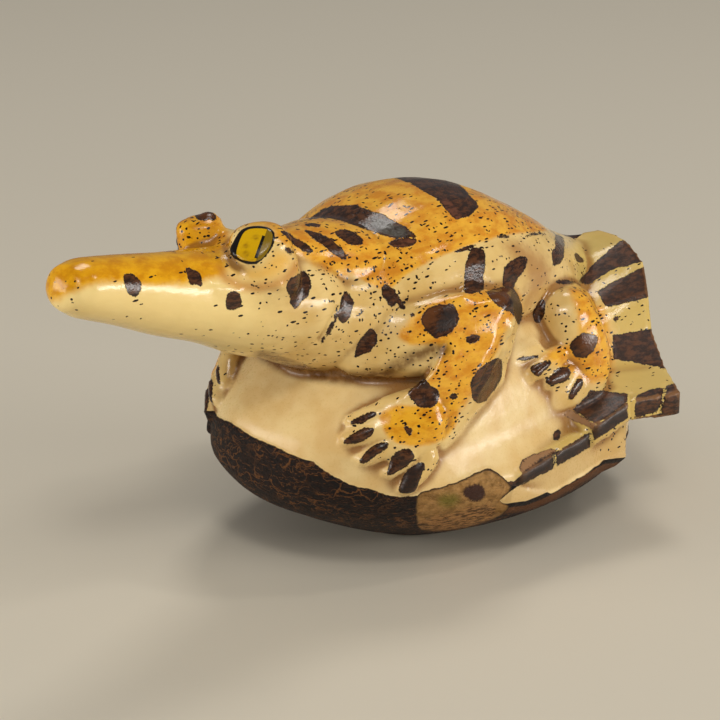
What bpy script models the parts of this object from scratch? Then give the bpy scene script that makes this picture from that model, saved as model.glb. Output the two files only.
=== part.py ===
"""Crocodile carved from one tagua nut, with the nut's brown skin left on underneath.

The carving is one solid. Each form is a tube or an egg with its own control sections. The forms are
fused by a voxel remesh, sanded by a smoothing pass and cut flat where the nut rests.
Axes: the nose points along -Y, the animal's left side is +X, and Z is up from the resting spot.
"""

import math

import bmesh
import bpy
import numpy as np

# Driving sizes in metres: the nut's widest width and length, the whole height, and the flat cut below
NUT_WIDTH = 0.0304
NUT_LENGTH = 0.0424
CARVING_HEIGHT = 0.0328
RESTING_CUT = 0.0004
VOXEL = 0.00040
SANDING_PASSES = 6
SANDING_STRENGTH = 0.5
MOST_TRIANGLES = 9600

# Paint and varnish: the mean colour of the stained top, and its gloss
PAINT_COLOUR = (0.62, 0.40, 0.15, 1.0)
PAINT_ROUGHNESS = 0.30

# The pose is written in millimetres on a nut of this size, and follows the nut when its size changes
POSED_ON = (30.4, 42.4, 32.8)
STRETCH = np.array([NUT_WIDTH, NUT_LENGTH, CARVING_HEIGHT]) / POSED_ON

# Nut sections from the bottom up: height, centre left and back, half width, half length, squareness
NUT_SECTIONS = [
    (0.0, 0.1, -0.2, 2.6, 3.2, 2.0),
    (0.6, 0.0, 0.4, 4.4, 5.4, 2.0),
    (1.8, -0.1, 1.9, 7.6, 9.9, 2.0),
    (3.4, -0.2, 3.5, 11.3, 15.1, 2.0),
    (5.2, -0.1, 3.3, 13.8, 18.4, 2.0),
    (7.0, -0.1, 2.3, 14.9, 20.5, 2.0),
    (9.0, -0.2, 1.3, 15.2, 21.2, 2.1),
    (10.2, -0.2, 1.1, 14.3, 21.3, 2.3),
    (12.0, 0.0, 0.3, 12.9, 20.7, 2.5),
    (14.0, 0.0, -0.2, 12.3, 19.8, 2.6),
    (16.0, 0.0, -0.2, 11.6, 18.2, 2.6),
    (18.5, 0.0, 0.0, 10.2, 15.6, 2.3),
    (22.0, 0.0, 0.0, 7.6, 11.0, 2.0),
    (24.5, 0.0, 0.0, 3.0, 5.0, 2.0),
]
# Tube sections: left, back, up, half width, half height
TORSO = [
    (0.0, -14.6, 23.4, 5.6, 4.8),
    (0.0, -11.0, 23.1, 8.2, 6.9),
    (0.0, -5.0, 22.8, 9.8, 8.7),
    (0.0, 1.0, 22.6, 9.8, 8.3),
    (0.0, 7.0, 21.6, 9.0, 6.6),
    (0.0, 13.0, 20.2, 7.2, 4.8),
    (0.4, 18.0, 19.4, 4.8, 3.2),
    (1.0, 20.5, 19.0, 3.4, 2.6),
]
HEAD = [
    (0.0, -15.8, 24.3, 5.8, 4.8),
    (0.0, -18.9, 25.1, 6.2, 4.6),
    (0.0, -22.0, 25.6, 5.5, 4.8),
    (0.0, -27.0, 27.1, 4.1, 4.0),
    (0.0, -31.5, 28.5, 3.3, 3.3),
    (0.0, -36.0, 29.9, 2.8, 2.75),
    (0.0, -40.0, 31.0, 2.5, 2.3),
    (0.0, -41.2, 31.3, 2.1, 1.9),
]
EYE_TURRET = [
    (2.6, -22.6, 28.2, 2.9, 2.9),
    (3.0, -23.3, 30.0, 2.75, 2.7),
    (3.1, -23.5, 31.4, 2.45, 2.4),
]
FAR_TURRET = [
    (-2.8, -23.2, 28.6, 2.2, 2.2),
    (-3.2, -23.7, 30.4, 1.95, 1.9),
    (-3.3, -23.8, 31.8, 1.85, 1.7),
]
FAR_BUMP = [
    (-2.7, -23.2, 31.4, 1.1, 1.1),
    (-2.8, -23.3, 32.2, 0.8, 0.8),
]
CHEEK = [
    (3.6, -21.6, 28.9, 1.4, 1.3),
    (3.7, -23.3, 28.4, 1.4, 1.3),
    (3.4, -25.0, 28.1, 1.3, 1.2),
    (3.0, -27.3, 28.4, 1.2, 1.1),
    (2.5, -29.6, 28.9, 0.9, 0.9),
    (2.0, -32.0, 29.4, 0.6, 0.6),
]
CROWN = [
    (0.2, -21.5, 28.0, 2.6, 2.4),
    (0.3, -19.0, 27.8, 3.4, 3.1),
    (0.3, -16.5, 27.2, 4.4, 3.55),
    (0.3, -13.5, 26.6, 5.4, 4.0),
    (0.2, -10.0, 26.0, 6.0, 3.8),
]
NECK = [
    (0.0, -19.5, 25.0, 5.6, 4.5),
    (0.0, -16.0, 23.8, 6.5, 5.1),
    (0.0, -12.0, 23.1, 7.9, 6.3),
    (0.0, -8.0, 22.9, 9.0, 7.6),
]
UPPER_ARM = [
    (4.6, -13.0, 21.2, 3.2, 3.0),
    (7.6, -10.4, 21.2, 3.2, 2.8),
    (9.6, -7.0, 21.5, 3.2, 2.3),
    (10.8, -3.9, 22.2, 2.2, 1.9),
]
HAND = [
    (10.6, -12.0, 15.6, 2.6, 1.6),
    (10.0, -13.6, 15.2, 2.8, 1.3),
    (9.4, -14.9, 14.9, 2.8, 1.1),
]
# The forearm from the elbow down: its front edge, its ridge, its back edge, and how far the first and last go in
FOREARM_STATIONS = [
    ((9.6, -5.6, 24.9), (11.2, -2.6, 24.2), (9.8, 0.2, 23.4)),
    ((10.3, -7.4, 24.8), (12.3, -2.9, 23.4), (10.2, 1.4, 21.6)),
    ((11.3, -10.2, 21.2), (13.2, -6.2, 20.2), (11.2, -1.4, 18.6)),
    ((11.0, -12.5, 19.1), (13.2, -7.7, 18.7), (11.6, -3.0, 16.5)),
    ((10.2, -14.0, 18.1), (12.9, -9.0, 17.0), (11.8, -5.6, 15.0)),
    ((9.4, -15.6, 16.9), (12.4, -10.4, 14.6), (11.9, -8.8, 13.4)),
    ((9.0, -16.0, 15.4), (11.9, -11.4, 12.9), (11.5, -10.3, 12.2)),
]
FRONT_INWARD = (-3.2, 3.6, -2.4)
BACK_INWARD = (-4.0, -0.5, 0.3)
THIGH = [
    (6.0, 12.0, 17.5, 3.0, 3.0),
    (8.6, 9.5, 18.4, 3.0, 2.8),
    (10.3, 7.2, 19.2, 2.6, 2.3),
]
SHIN = [
    (10.0, 7.2, 19.5, 2.6, 2.2),
    (11.0, 7.4, 17.6, 2.8, 2.2),
    (11.6, 7.6, 15.6, 2.8, 2.0),
    (11.8, 6.4, 14.2, 2.8, 1.6),
    (11.6, 3.4, 14.6, 2.6, 1.1),
]
TAIL_STATIONS = [
    ((2.0, 23.2, 22.2), (-1.0, 17.5, 21.5), 3.5),
    ((5.3, 23.0, 21.8), (3.2, 15.5, 20.2), 3.2),
    ((7.8, 22.2, 20.3), (5.5, 14.5, 19.0), 3.0),
    ((9.9, 20.0, 18.6), (8.0, 13.0, 17.8), 2.8),
    ((12.0, 17.8, 16.0), (9.0, 11.5, 16.0), 2.6),
    ((14.4, 16.6, 13.3), (10.0, 10.5, 14.4), 2.4),
    ((18.0, 13.9, 12.4), (10.5, 9.0, 13.6), 2.2),
    ((16.2, 9.4, 12.5), (10.8, 7.6, 13.4), 2.0),
    ((15.8, 4.8, 11.4), (11.0, 3.8, 12.2), 1.9),
    ((15.3, 4.3, 10.5), (11.0, 3.2, 11.4), 1.2),
    ((15.1, -0.5, 10.0), (10.8, -0.6, 10.9), 1.1),
    ((14.9, -4.6, 9.4), (11.5, -4.8, 10.0), 1.0),
]
# The flat cut below the tail, front to back: its top edge, its bottom edge, and where the skin meets it below
UNDER_TAIL = [
    ((14.2, -5.6, 9.2), (14.2, -5.6, 6.9), (13.6, -5.6, 6.0)),
    ((14.9, -0.5, 9.8), (14.9, -0.5, 6.4), (14.3, -0.5, 5.4)),
    ((15.15, 4.0, 10.3), (15.15, 4.0, 6.9), (14.3, 4.0, 5.6)),
    ((15.2, 6.8, 11.2), (15.2, 6.8, 7.5), (14.1, 6.8, 5.9)),
    ((15.2, 10.0, 11.5), (15.2, 10.0, 7.0), (14.0, 10.0, 5.8)),
]
UNDER_INWARD = (-5.0, 0.0, 0.0)
# Finger and toe lines: where each leaves the palm or foot, and its tip
FINGERS = [
    ((9.0, -14.7, 16.3), (7.0, -17.1, 15.7)),
    ((9.2, -15.2, 15.3), (7.2, -18.0, 14.4)),
    ((9.8, -15.0, 14.1), (8.4, -17.4, 12.8)),
    ((10.6, -13.7, 13.5), (9.9, -15.7, 11.6)),
    ((11.2, -12.7, 12.3), (10.7, -14.6, 10.1)),
]
TOES = [
    ((10.2, 2.4, 17.3), (10.3, -0.8, 17.3)),
    ((11.3, 4.4, 16.6), (11.8, 0.6, 16.1)),
    ((11.7, 6.2, 15.2), (12.2, 2.3, 15.0)),
    ((12.1, 7.4, 13.9), (12.6, 4.8, 13.2)),
]
DIGIT_THICK = (1.1, 0.6)


def clear_scene():
    for obj in list(bpy.data.objects):
        bpy.data.objects.remove(obj)


def on_side(side, sections):
    """The sections on the animal's left for side 1, and mirrored to its right for side -1."""
    return [(side * left, *rest) for left, *rest in sections]


def smooth_rows(rows, per_span):
    """Catmull-Rom curve through rows of numbers, each span cut into per_span steps."""
    rows = np.array(rows, float)
    ends = np.vstack([2 * rows[0] - rows[1], rows, 2 * rows[-1] - rows[-2]])
    t = np.linspace(0, len(rows) - 1, (len(rows) - 1) * per_span + 1)
    span = np.minimum(t.astype(int), len(rows) - 2)
    u = (t - span)[:, None]
    before, start, end, after = (ends[span + k] for k in range(4))
    return 0.5 * (
        2 * start
        + (end - before) * u
        + (2 * before - 5 * start + 4 * end - after) * u**2
        + (3 * start - before - 3 * end + after) * u**3
    )


def rings_to_mesh(name, rings):
    """A closed mesh from rings of points, with each end filled by one face."""
    count, sides = rings.shape[:2]
    points = (rings.reshape(-1, 3) * STRETCH - (0, 0, RESTING_CUT)).tolist()
    faces = [
        (
            row * sides + side,
            row * sides + (side + 1) % sides,
            (row + 1) * sides + (side + 1) % sides,
            (row + 1) * sides + side,
        )
        for row in range(count - 1)
        for side in range(sides)
    ]
    faces.append(tuple(range(sides - 1, -1, -1)))
    faces.append(tuple(range((count - 1) * sides, count * sides)))
    mesh = bpy.data.meshes.new(name)
    mesh.from_pydata(points, [], faces)
    clean = bmesh.new()
    clean.from_mesh(mesh)
    bmesh.ops.recalc_face_normals(clean, faces=clean.faces)
    clean.to_mesh(mesh)
    clean.free()
    return mesh


def tube(name, sections, up=(0, 0, 1), squareness=2.0, cap=1.0, sides=28, per_span=6, cap_rings=5):
    """A superellipse of the given half width and half height carried along a curve; cap 1 ends it in a ball."""
    rows = smooth_rows(sections, per_span)
    centre = rows[:, :3]
    half = np.maximum(rows[:, 3:], 0.05)
    along = np.gradient(centre, axis=0)
    along /= np.linalg.norm(along, axis=1)[:, None]
    across = np.cross(along, up)
    across /= np.linalg.norm(across, axis=1)[:, None]
    rise = np.cross(across, along)
    turn = np.linspace(0, 2 * math.pi, sides, endpoint=False)
    round_to_square = 2.0 / squareness
    wide = np.sign(np.cos(turn)) * np.abs(np.cos(turn)) ** round_to_square
    high = np.sign(np.sin(turn)) * np.abs(np.sin(turn)) ** round_to_square

    def ring(i, shrink, push):
        return (
            centre[i]
            + along[i] * push
            + across[i] * (wide * half[i, 0] * shrink)[:, None]
            + rise[i] * (high * half[i, 1] * shrink)[:, None]
        )

    swell = np.linspace(0.5 * math.pi, 0, cap_rings, endpoint=False)[::-1]
    first, last = 0, len(rows) - 1
    bulge = cap * half.min(axis=1)
    rings = [ring(first, math.cos(a) + 0.01, -bulge[first] * math.sin(a)) for a in swell[::-1]]
    rings += [ring(i, 1.0, 0.0) for i in range(len(rows))]
    rings += [ring(last, math.cos(a) + 0.01, bulge[last] * math.sin(a)) for a in swell]
    return rings_to_mesh(name, np.array(rings))


def nut_mesh():
    """The nut's lower shell and the mound under the body: an oval that changes with height."""
    rows = smooth_rows(NUT_SECTIONS, 6)
    turn = np.linspace(0, 2 * math.pi, 64, endpoint=False)
    power = 2.0 / rows[:, 5:6]
    wide = np.sign(np.cos(turn)) * np.abs(np.cos(turn)) ** power
    long = np.sign(np.sin(turn)) * np.abs(np.sin(turn)) ** power
    rings = np.stack(
        [
            rows[:, 1:2] + rows[:, 3:4] * wide,
            rows[:, 2:3] + rows[:, 4:5] * long,
            np.repeat(rows[:, :1], len(turn), axis=1),
        ],
        axis=-1,
    )
    return rings_to_mesh("nut", rings)


def prism(name, stations):
    """A crisp-edged bar: the same few corners carried from each station to the next."""
    return rings_to_mesh(name, np.array(stations, float))


def tail_corners(outer, inner, thick):
    outer, inner, down = np.array(outer), np.array(inner), np.array([0, 0, -thick])
    return [outer, inner, inner + down, outer + down]


def forearm_corners(front, ridge, back):
    return [front, ridge, back, np.add(back, BACK_INWARD), np.add(front, FRONT_INWARD)]


def under_corners(top, bottom, underside):
    return [top, bottom, underside, np.add(underside, UNDER_INWARD), np.add(top, UNDER_INWARD)]


def digit(line):
    """A finger or toe: a tapering tube along one straight line."""
    (start, tip), (thick, thin) = line, DIGIT_THICK
    middle = tuple(0.5 * (a + b) for a, b in zip(start, tip))
    return [(*start, thick, thick), (*middle, thick * 0.9, thick * 0.9), (*tip, thin, thin)]


def all_forms():
    yield nut_mesh()
    for name, sections in (("torso", TORSO), ("neck", NECK), ("crown", CROWN)):
        yield tube(name, sections)
    yield tube("head", HEAD, cap=0.6)
    yield tube("eye_turret", EYE_TURRET, up=(0.8, -0.6, 0), squareness=2.4, cap=0.65)
    yield tube("far_turret", FAR_TURRET, up=(0.62, -0.78, 0), squareness=3.0, cap=0.4)
    yield tube("far_bump", FAR_BUMP, up=(0, 1, 0), cap=0.8)
    yield prism("tail", [tail_corners(*station) for station in TAIL_STATIONS])
    yield prism("under_tail", [under_corners(*station) for station in UNDER_TAIL])
    for side in (1, -1):
        outward = (0.85 * side, -0.3, 0.3)
        for name, sections, square in (
            ("cheek", CHEEK, 2.0),
            ("upper_arm", UPPER_ARM, 3.0),
            ("hand", HAND, 2.5),
            ("thigh", THIGH, 2.0),
            ("shin", SHIN, 2.3),
        ):
            yield tube(name, on_side(side, sections), up=outward, squareness=square)
        corners = np.array([forearm_corners(*station) for station in FOREARM_STATIONS])
        yield prism("forearm", corners * (side, 1, 1))
        for line in FINGERS + TOES:
            yield tube("digit", on_side(side, digit(line)), up=outward, sides=12, per_span=2)


def paint():
    material = bpy.data.materials.new("painted_nut")
    material.use_nodes = True
    surface = material.node_tree.nodes["Principled BSDF"]
    surface.inputs["Base Color"].default_value = PAINT_COLOUR
    surface.inputs["Roughness"].default_value = PAINT_ROUGHNESS
    surface.inputs["Metallic"].default_value = 0.0
    return material


def floor_cutter():
    """A box whose top face is the plane that the nut rests on."""
    bpy.ops.mesh.primitive_cube_add(size=1.0)
    cutter = bpy.context.active_object
    cutter.name = "resting_cutter"
    reach = 4 * NUT_LENGTH
    cutter.scale = (reach, reach, reach)
    cutter.location = (0, 0, -0.5 * reach)
    cutter.hide_render = True
    cutter.display_type = "WIRE"
    return cutter


def triangle_count(obj):
    bpy.context.view_layer.update()
    shown = obj.evaluated_get(bpy.context.evaluated_depsgraph_get())
    mesh = shown.to_mesh()
    mesh.calc_loop_triangles()
    count = len(mesh.loop_triangles)
    shown.to_mesh_clear()
    return count


def joined_forms():
    joined = bmesh.new()
    for form in all_forms():
        joined.from_mesh(form)
        bpy.data.meshes.remove(form)
    mesh = bpy.data.meshes.new("crocodile_carving")
    joined.to_mesh(mesh)
    joined.free()
    obj = bpy.data.objects.new("crocodile_carving", mesh)
    bpy.context.scene.collection.objects.link(obj)
    return obj


def carving():
    """All forms fused into one skin, sanded, thinned to the wanted count and cut flat underneath."""
    obj = joined_forms()
    obj.data.materials.append(paint())
    fuse = obj.modifiers.new("fuse", "REMESH")
    fuse.mode = "VOXEL"
    fuse.voxel_size = VOXEL
    sand = obj.modifiers.new("sand", "SMOOTH")
    sand.factor = SANDING_STRENGTH
    sand.iterations = SANDING_PASSES
    thin = obj.modifiers.new("thin", "DECIMATE")
    thin.ratio = min(1.0, MOST_TRIANGLES / triangle_count(obj))
    flat = obj.modifiers.new("flat", "BOOLEAN")
    flat.operation = "DIFFERENCE"
    flat.solver = "EXACT"
    flat.object = floor_cutter()


clear_scene()
carving()
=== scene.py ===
"""Looks of a crocodile carved from one tagua nut, stained orange on top, spotted dark brown and varnished.

The carving is one fine mesh. Its forms are tubes, an oval shell and a slab, worked out with numpy and fused.
Eyes, claws, notches and the lip of the nut's skin are then pressed into that mesh along its normals.
The paint is a set of smooth fields stored on the points, and the finish turns them into crisp, ragged edges.
Lengths are in millimetres up to the last step. The snout points along -Y and the animal's left is +X.
"""

import math

import bpy
import numpy as np
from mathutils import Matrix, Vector
from mathutils.bvhtree import BVHTree


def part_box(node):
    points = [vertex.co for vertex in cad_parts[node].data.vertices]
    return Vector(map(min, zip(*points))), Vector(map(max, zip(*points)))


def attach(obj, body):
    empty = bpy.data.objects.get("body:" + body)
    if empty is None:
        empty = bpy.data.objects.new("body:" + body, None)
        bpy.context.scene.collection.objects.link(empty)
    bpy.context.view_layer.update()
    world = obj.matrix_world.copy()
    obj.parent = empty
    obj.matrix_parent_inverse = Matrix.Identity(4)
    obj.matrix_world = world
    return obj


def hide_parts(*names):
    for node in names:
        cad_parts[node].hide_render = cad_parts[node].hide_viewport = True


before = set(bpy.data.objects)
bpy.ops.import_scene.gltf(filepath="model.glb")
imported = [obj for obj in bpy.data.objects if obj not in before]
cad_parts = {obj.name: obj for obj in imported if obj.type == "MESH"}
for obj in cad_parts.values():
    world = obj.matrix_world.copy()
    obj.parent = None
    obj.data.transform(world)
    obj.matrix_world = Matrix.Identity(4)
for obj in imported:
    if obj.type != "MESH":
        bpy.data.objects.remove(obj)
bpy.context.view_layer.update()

# Sizes: the pose below is written on a carving of this size, and is stretched to the frame's own box
POSED_SIZE = np.array([33.154, 65.533, 32.804])
LOWEST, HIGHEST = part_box("crocodile_carving")
METRES = np.array(HIGHEST - LOWEST) / POSED_SIZE
RESTING_CUT = 0.4
VOXEL = 0.274
SANDING_PASSES = 3
# Rings of points in a tube's rounded end, rows between two sections, and points round the nut
CAP_RINGS = 5
ROWS_PER_SPAN = 6
NUT_SIDES = 64

# The photograph's camera: turned to the animal's left of the snout, raised, with its distance and lens
CAMERA_TURN = 41.0
CAMERA_RISE = 19.0
CAMERA_DISTANCE = 240.0
LENS_PIXELS = 2734.0
AIM_POINT = np.array([0.0, 0.0, 9.8])
AIM_PIXEL = np.array([420.0, 415.0])
PHOTO_MIDDLE = np.array([360.0, 360.0])
PHOTO_SIZE = 720.0
SENSOR = 36.0
# Millimetres per pixel at the camera's distance
PIXEL_SPAN = CAMERA_DISTANCE / LENS_PIXELS
# The far eye's own view, on which the near eye's outlines draw it. Its place is given as if on the left
FAR_EYE_TURN = 75.0
FAR_EYE_RISE = 10.0
FAR_EYE = np.array([5.0, -23.9, 30.6])
NEAR_EYE_PIXEL = (252.0, 246.0)
# How far off the plain views stand, one above the animal and one on its right
PLAIN_DISTANCE = 2000.0

# Nut sections from the bottom up: height, centre left and back, half width, half length, squareness
NUT_SECTIONS = [
    (0.0, 0.1, -0.2, 2.6, 3.2, 2.0),
    (0.6, 0.0, 0.4, 4.4, 5.4, 2.0),
    (1.8, -0.1, 1.9, 7.6, 9.9, 2.0),
    (3.4, -0.2, 3.5, 11.3, 15.1, 2.0),
    (5.2, -0.1, 3.3, 13.8, 18.4, 2.0),
    (7.0, -0.1, 2.3, 14.9, 20.5, 2.0),
    (9.0, -0.2, 1.3, 15.2, 21.2, 2.1),
    (10.2, -0.2, 1.1, 14.3, 21.3, 2.3),
    (12.0, 0.0, 0.3, 12.9, 20.7, 2.5),
    (14.0, 0.0, -0.2, 12.3, 19.8, 2.6),
    (16.0, 0.0, -0.2, 11.6, 18.2, 2.6),
    (18.5, 0.0, 0.0, 10.2, 15.6, 2.3),
    (22.0, 0.0, 0.0, 7.6, 11.0, 2.0),
    (24.5, 0.0, 0.0, 3.0, 5.0, 2.0),
]
# Tube sections: left, back, up, half width, half height
TORSO = [
    (0.0, -14.6, 23.4, 5.6, 4.8),
    (0.0, -11.0, 23.1, 8.2, 6.9),
    (0.0, -5.0, 22.8, 9.8, 8.7),
    (0.0, 1.0, 22.6, 9.8, 8.3),
    (0.0, 7.0, 21.6, 9.0, 6.6),
    (0.0, 13.0, 20.2, 7.2, 4.8),
    (0.4, 18.0, 19.4, 4.8, 3.2),
    (1.0, 20.5, 19.0, 3.4, 2.6),
]
HEAD = [
    (0.0, -15.8, 24.3, 5.8, 4.8),
    (0.0, -18.9, 25.1, 6.2, 4.6),
    (0.0, -22.0, 25.8, 5.5, 4.6),
    (0.0, -27.0, 27.3, 4.1, 3.8),
    (0.0, -31.5, 28.5, 3.3, 3.3),
    (0.0, -36.0, 29.9, 2.8, 2.75),
    (0.0, -40.0, 31.0, 2.5, 2.3),
    (0.0, -41.2, 31.3, 2.1, 1.9),
]
EYE_TURRET = [
    (2.6, -22.6, 28.2, 2.9, 2.9),
    (3.0, -23.3, 30.0, 2.75, 2.7),
    (3.1, -23.5, 31.4, 2.45, 2.4),
]
FAR_TURRET = [
    (-2.8, -23.2, 28.6, 2.2, 2.2),
    (-3.2, -23.7, 30.4, 1.95, 1.9),
    (-3.3, -23.8, 31.8, 1.85, 1.7),
]
FAR_BUMP = [
    (-2.7, -23.2, 31.4, 1.1, 1.1),
    (-2.8, -23.3, 32.2, 0.8, 0.8),
]
# The low saddle between the two eyes
SADDLE = [
    (2.2, -22.8, 29.5, 2.0, 2.0),
    (-1.0, -22.9, 29.9, 1.75, 1.7),
    (-3.2, -23.2, 30.0, 1.5, 1.5),
]
# The swollen lower lid round the front of the eye
LID = [
    (1.6, -25.0, 29.2, 1.3, 1.3),
    (3.4, -25.2, 28.9, 1.3, 1.3),
    (4.6, -23.8, 28.6, 1.2, 1.2),
]
CHEEK = [
    (3.6, -21.6, 28.9, 1.4, 1.3),
    (3.7, -23.3, 28.4, 1.4, 1.3),
    (3.4, -25.0, 28.1, 1.3, 1.2),
    (3.0, -27.3, 28.4, 1.2, 1.1),
    (2.5, -29.6, 28.9, 0.9, 0.9),
    (2.0, -32.0, 29.4, 0.6, 0.6),
]
CROWN = [
    (0.2, -21.5, 28.0, 2.6, 2.4),
    (0.3, -19.0, 27.8, 3.4, 3.1),
    (0.3, -16.5, 27.2, 4.4, 3.55),
    (0.3, -13.5, 26.6, 5.4, 4.0),
    (0.2, -10.0, 26.0, 6.0, 3.8),
]
NECK = [
    (0.0, -19.5, 25.0, 5.6, 4.5),
    (0.0, -16.0, 23.8, 6.5, 5.1),
    (0.0, -12.0, 23.1, 7.9, 6.3),
    (0.0, -8.0, 22.9, 9.0, 7.6),
]
UPPER_ARM = [
    (4.6, -13.0, 21.2, 3.2, 3.0),
    (7.6, -10.4, 21.2, 3.2, 2.8),
    (9.6, -7.0, 21.5, 3.2, 2.3),
    (10.8, -3.9, 22.2, 2.2, 1.9),
]
HAND = [
    (10.6, -12.0, 15.6, 2.6, 1.6),
    (10.0, -13.6, 15.2, 2.8, 1.3),
    (9.4, -14.9, 14.9, 2.8, 1.1),
]
# The forearm from the elbow down: its front edge, ridge and back edge. Both edges also go inwards
FOREARM_STATIONS = [
    ((9.6, -5.6, 24.9), (11.2, -2.6, 24.2), (9.8, 0.2, 23.4)),
    ((10.3, -7.4, 24.8), (12.3, -2.9, 23.4), (10.2, 1.4, 21.6)),
    ((11.3, -10.2, 21.2), (13.2, -6.2, 20.2), (11.2, -1.4, 18.6)),
    ((11.0, -12.5, 19.1), (13.2, -7.7, 18.7), (11.6, -3.0, 16.5)),
    ((10.2, -14.0, 18.1), (12.9, -9.0, 17.0), (11.8, -5.6, 15.0)),
    ((9.4, -15.6, 16.9), (12.4, -10.4, 14.6), (11.9, -8.8, 13.4)),
    ((9.0, -16.0, 15.4), (11.9, -11.4, 12.9), (11.5, -10.3, 12.2)),
]
FRONT_INWARD = (-3.2, 3.6, -2.4)
BACK_INWARD = (-4.0, -0.5, 0.3)
THIGH = [
    (6.0, 12.0, 17.5, 3.0, 3.0),
    (8.6, 9.5, 18.4, 3.0, 2.8),
    (10.3, 7.2, 19.2, 2.6, 2.3),
]
SHIN = [
    (10.0, 7.2, 19.5, 2.6, 2.2),
    (11.0, 7.4, 17.6, 2.8, 2.2),
    (11.6, 7.6, 15.6, 2.8, 2.0),
    (11.8, 6.4, 14.2, 2.8, 1.6),
    (11.6, 3.4, 14.6, 2.6, 1.1),
]
# The tail slab: its outer top edge, its inner top edge, its thickness
TAIL_STATIONS = [
    ((2.0, 23.2, 22.2), (-1.0, 17.5, 21.5), 3.5),
    ((5.3, 23.0, 21.8), (3.2, 15.5, 20.2), 3.2),
    ((7.8, 22.2, 20.3), (5.5, 14.5, 19.0), 3.0),
    ((9.9, 20.0, 18.6), (8.0, 13.0, 17.8), 2.8),
    ((12.0, 17.8, 16.0), (9.0, 11.5, 16.0), 2.6),
    ((14.4, 16.6, 13.3), (10.0, 10.5, 14.4), 2.4),
    ((18.0, 13.9, 12.4), (10.5, 9.0, 13.6), 2.2),
    ((16.2, 9.4, 12.5), (10.8, 7.6, 13.4), 2.0),
    ((15.8, 4.8, 11.4), (11.0, 3.8, 12.2), 1.9),
    ((15.3, 4.3, 10.5), (11.0, 3.2, 11.4), 1.2),
    ((15.1, -0.5, 10.0), (10.8, -0.6, 10.9), 1.1),
    ((14.9, -4.6, 9.4), (11.5, -4.8, 10.0), 1.0),
]
# The flat cut below the tail, front to back: its top edge, its foot, and the nut's skin under it
UNDER_TAIL = [
    ((14.2, -5.6, 9.2), (14.2, -5.6, 6.9), (13.6, -5.6, 6.0)),
    ((14.9, -0.5, 9.8), (14.9, -0.5, 6.4), (14.3, -0.5, 5.4)),
    ((15.15, 4.0, 10.3), (15.15, 4.0, 6.9), (14.3, 4.0, 5.6)),
    ((15.2, 6.8, 11.2), (15.2, 6.8, 7.5), (14.1, 6.8, 5.9)),
    ((15.2, 10.0, 11.5), (15.2, 10.0, 7.0), (14.0, 10.0, 5.8)),
]
UNDER_INWARD = (-5.0, 0.0, 0.0)
# Finger and toe lines: where each leaves the palm or foot, and its tip. Their thickness there
FINGERS = [
    ((9.0, -14.7, 16.3), (7.0, -17.1, 15.7)),
    ((9.2, -15.2, 15.3), (7.2, -18.0, 14.4)),
    ((9.8, -15.0, 14.1), (8.4, -17.4, 12.8)),
    ((10.6, -13.7, 13.5), (9.9, -15.7, 11.6)),
    ((11.2, -12.7, 12.3), (10.7, -14.6, 10.1)),
]
TOES = [
    ((10.2, 2.4, 17.3), (10.3, -0.8, 17.3)),
    ((11.3, 4.4, 16.6), (11.8, 0.6, 16.1)),
    ((11.7, 6.2, 15.2), (12.2, 2.3, 15.0)),
    ((12.1, 7.4, 13.9), (12.6, 4.8, 13.2)),
]
DIGIT_THICK = (1.1, 0.6)
# The way up of the tubes on the animal's left, and the forms of both sides with their squareness
OUTWARD = (0.85, -0.3, 0.3)
SIDE_FORMS = ((CHEEK, 2.0), (UPPER_ARM, 3.0), (HAND, 2.5), (THIGH, 2.0), (SHIN, 2.3))

# Outlines below are in the photograph's pixels, across and down, each round one painted or cut shape.
# Both sides of the animal carry those of the head, body, limbs and claws. The tail has its own.
HEAD_MARKS = {
    "snout_front": [(122, 273), (132, 273), (141, 280), (141, 292), (137, 297), (129, 296), (124, 285)],
    "snout_back": [(185, 266), (198, 270), (202, 280), (203, 288), (196, 284), (190, 286), (187, 277)],
    "jaw_round": [(229, 291), (238, 291), (243, 300), (241, 307), (233, 311), (226, 309), (225, 300)],
    "cheek_leaf": [
        (285, 290), (289, 278), (297, 275), (303, 270), (309, 274), (312, 287), (308, 296), (301, 302),
        (295, 311), (292, 305), (289, 303), (290, 297),
    ],
    "brow_streak": [
        (279, 231), (286, 231), (297, 238), (310, 246), (316, 253), (305, 253), (295, 246), (286, 237),
    ],
    "temple_dab": [(284, 247), (289, 247), (293, 252), (292, 256), (286, 253)],
    "jaw_streak": [
        (319, 343), (325, 332), (332, 320), (337, 310), (340, 312), (336, 323), (329, 335), (322, 345),
    ],
}
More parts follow.
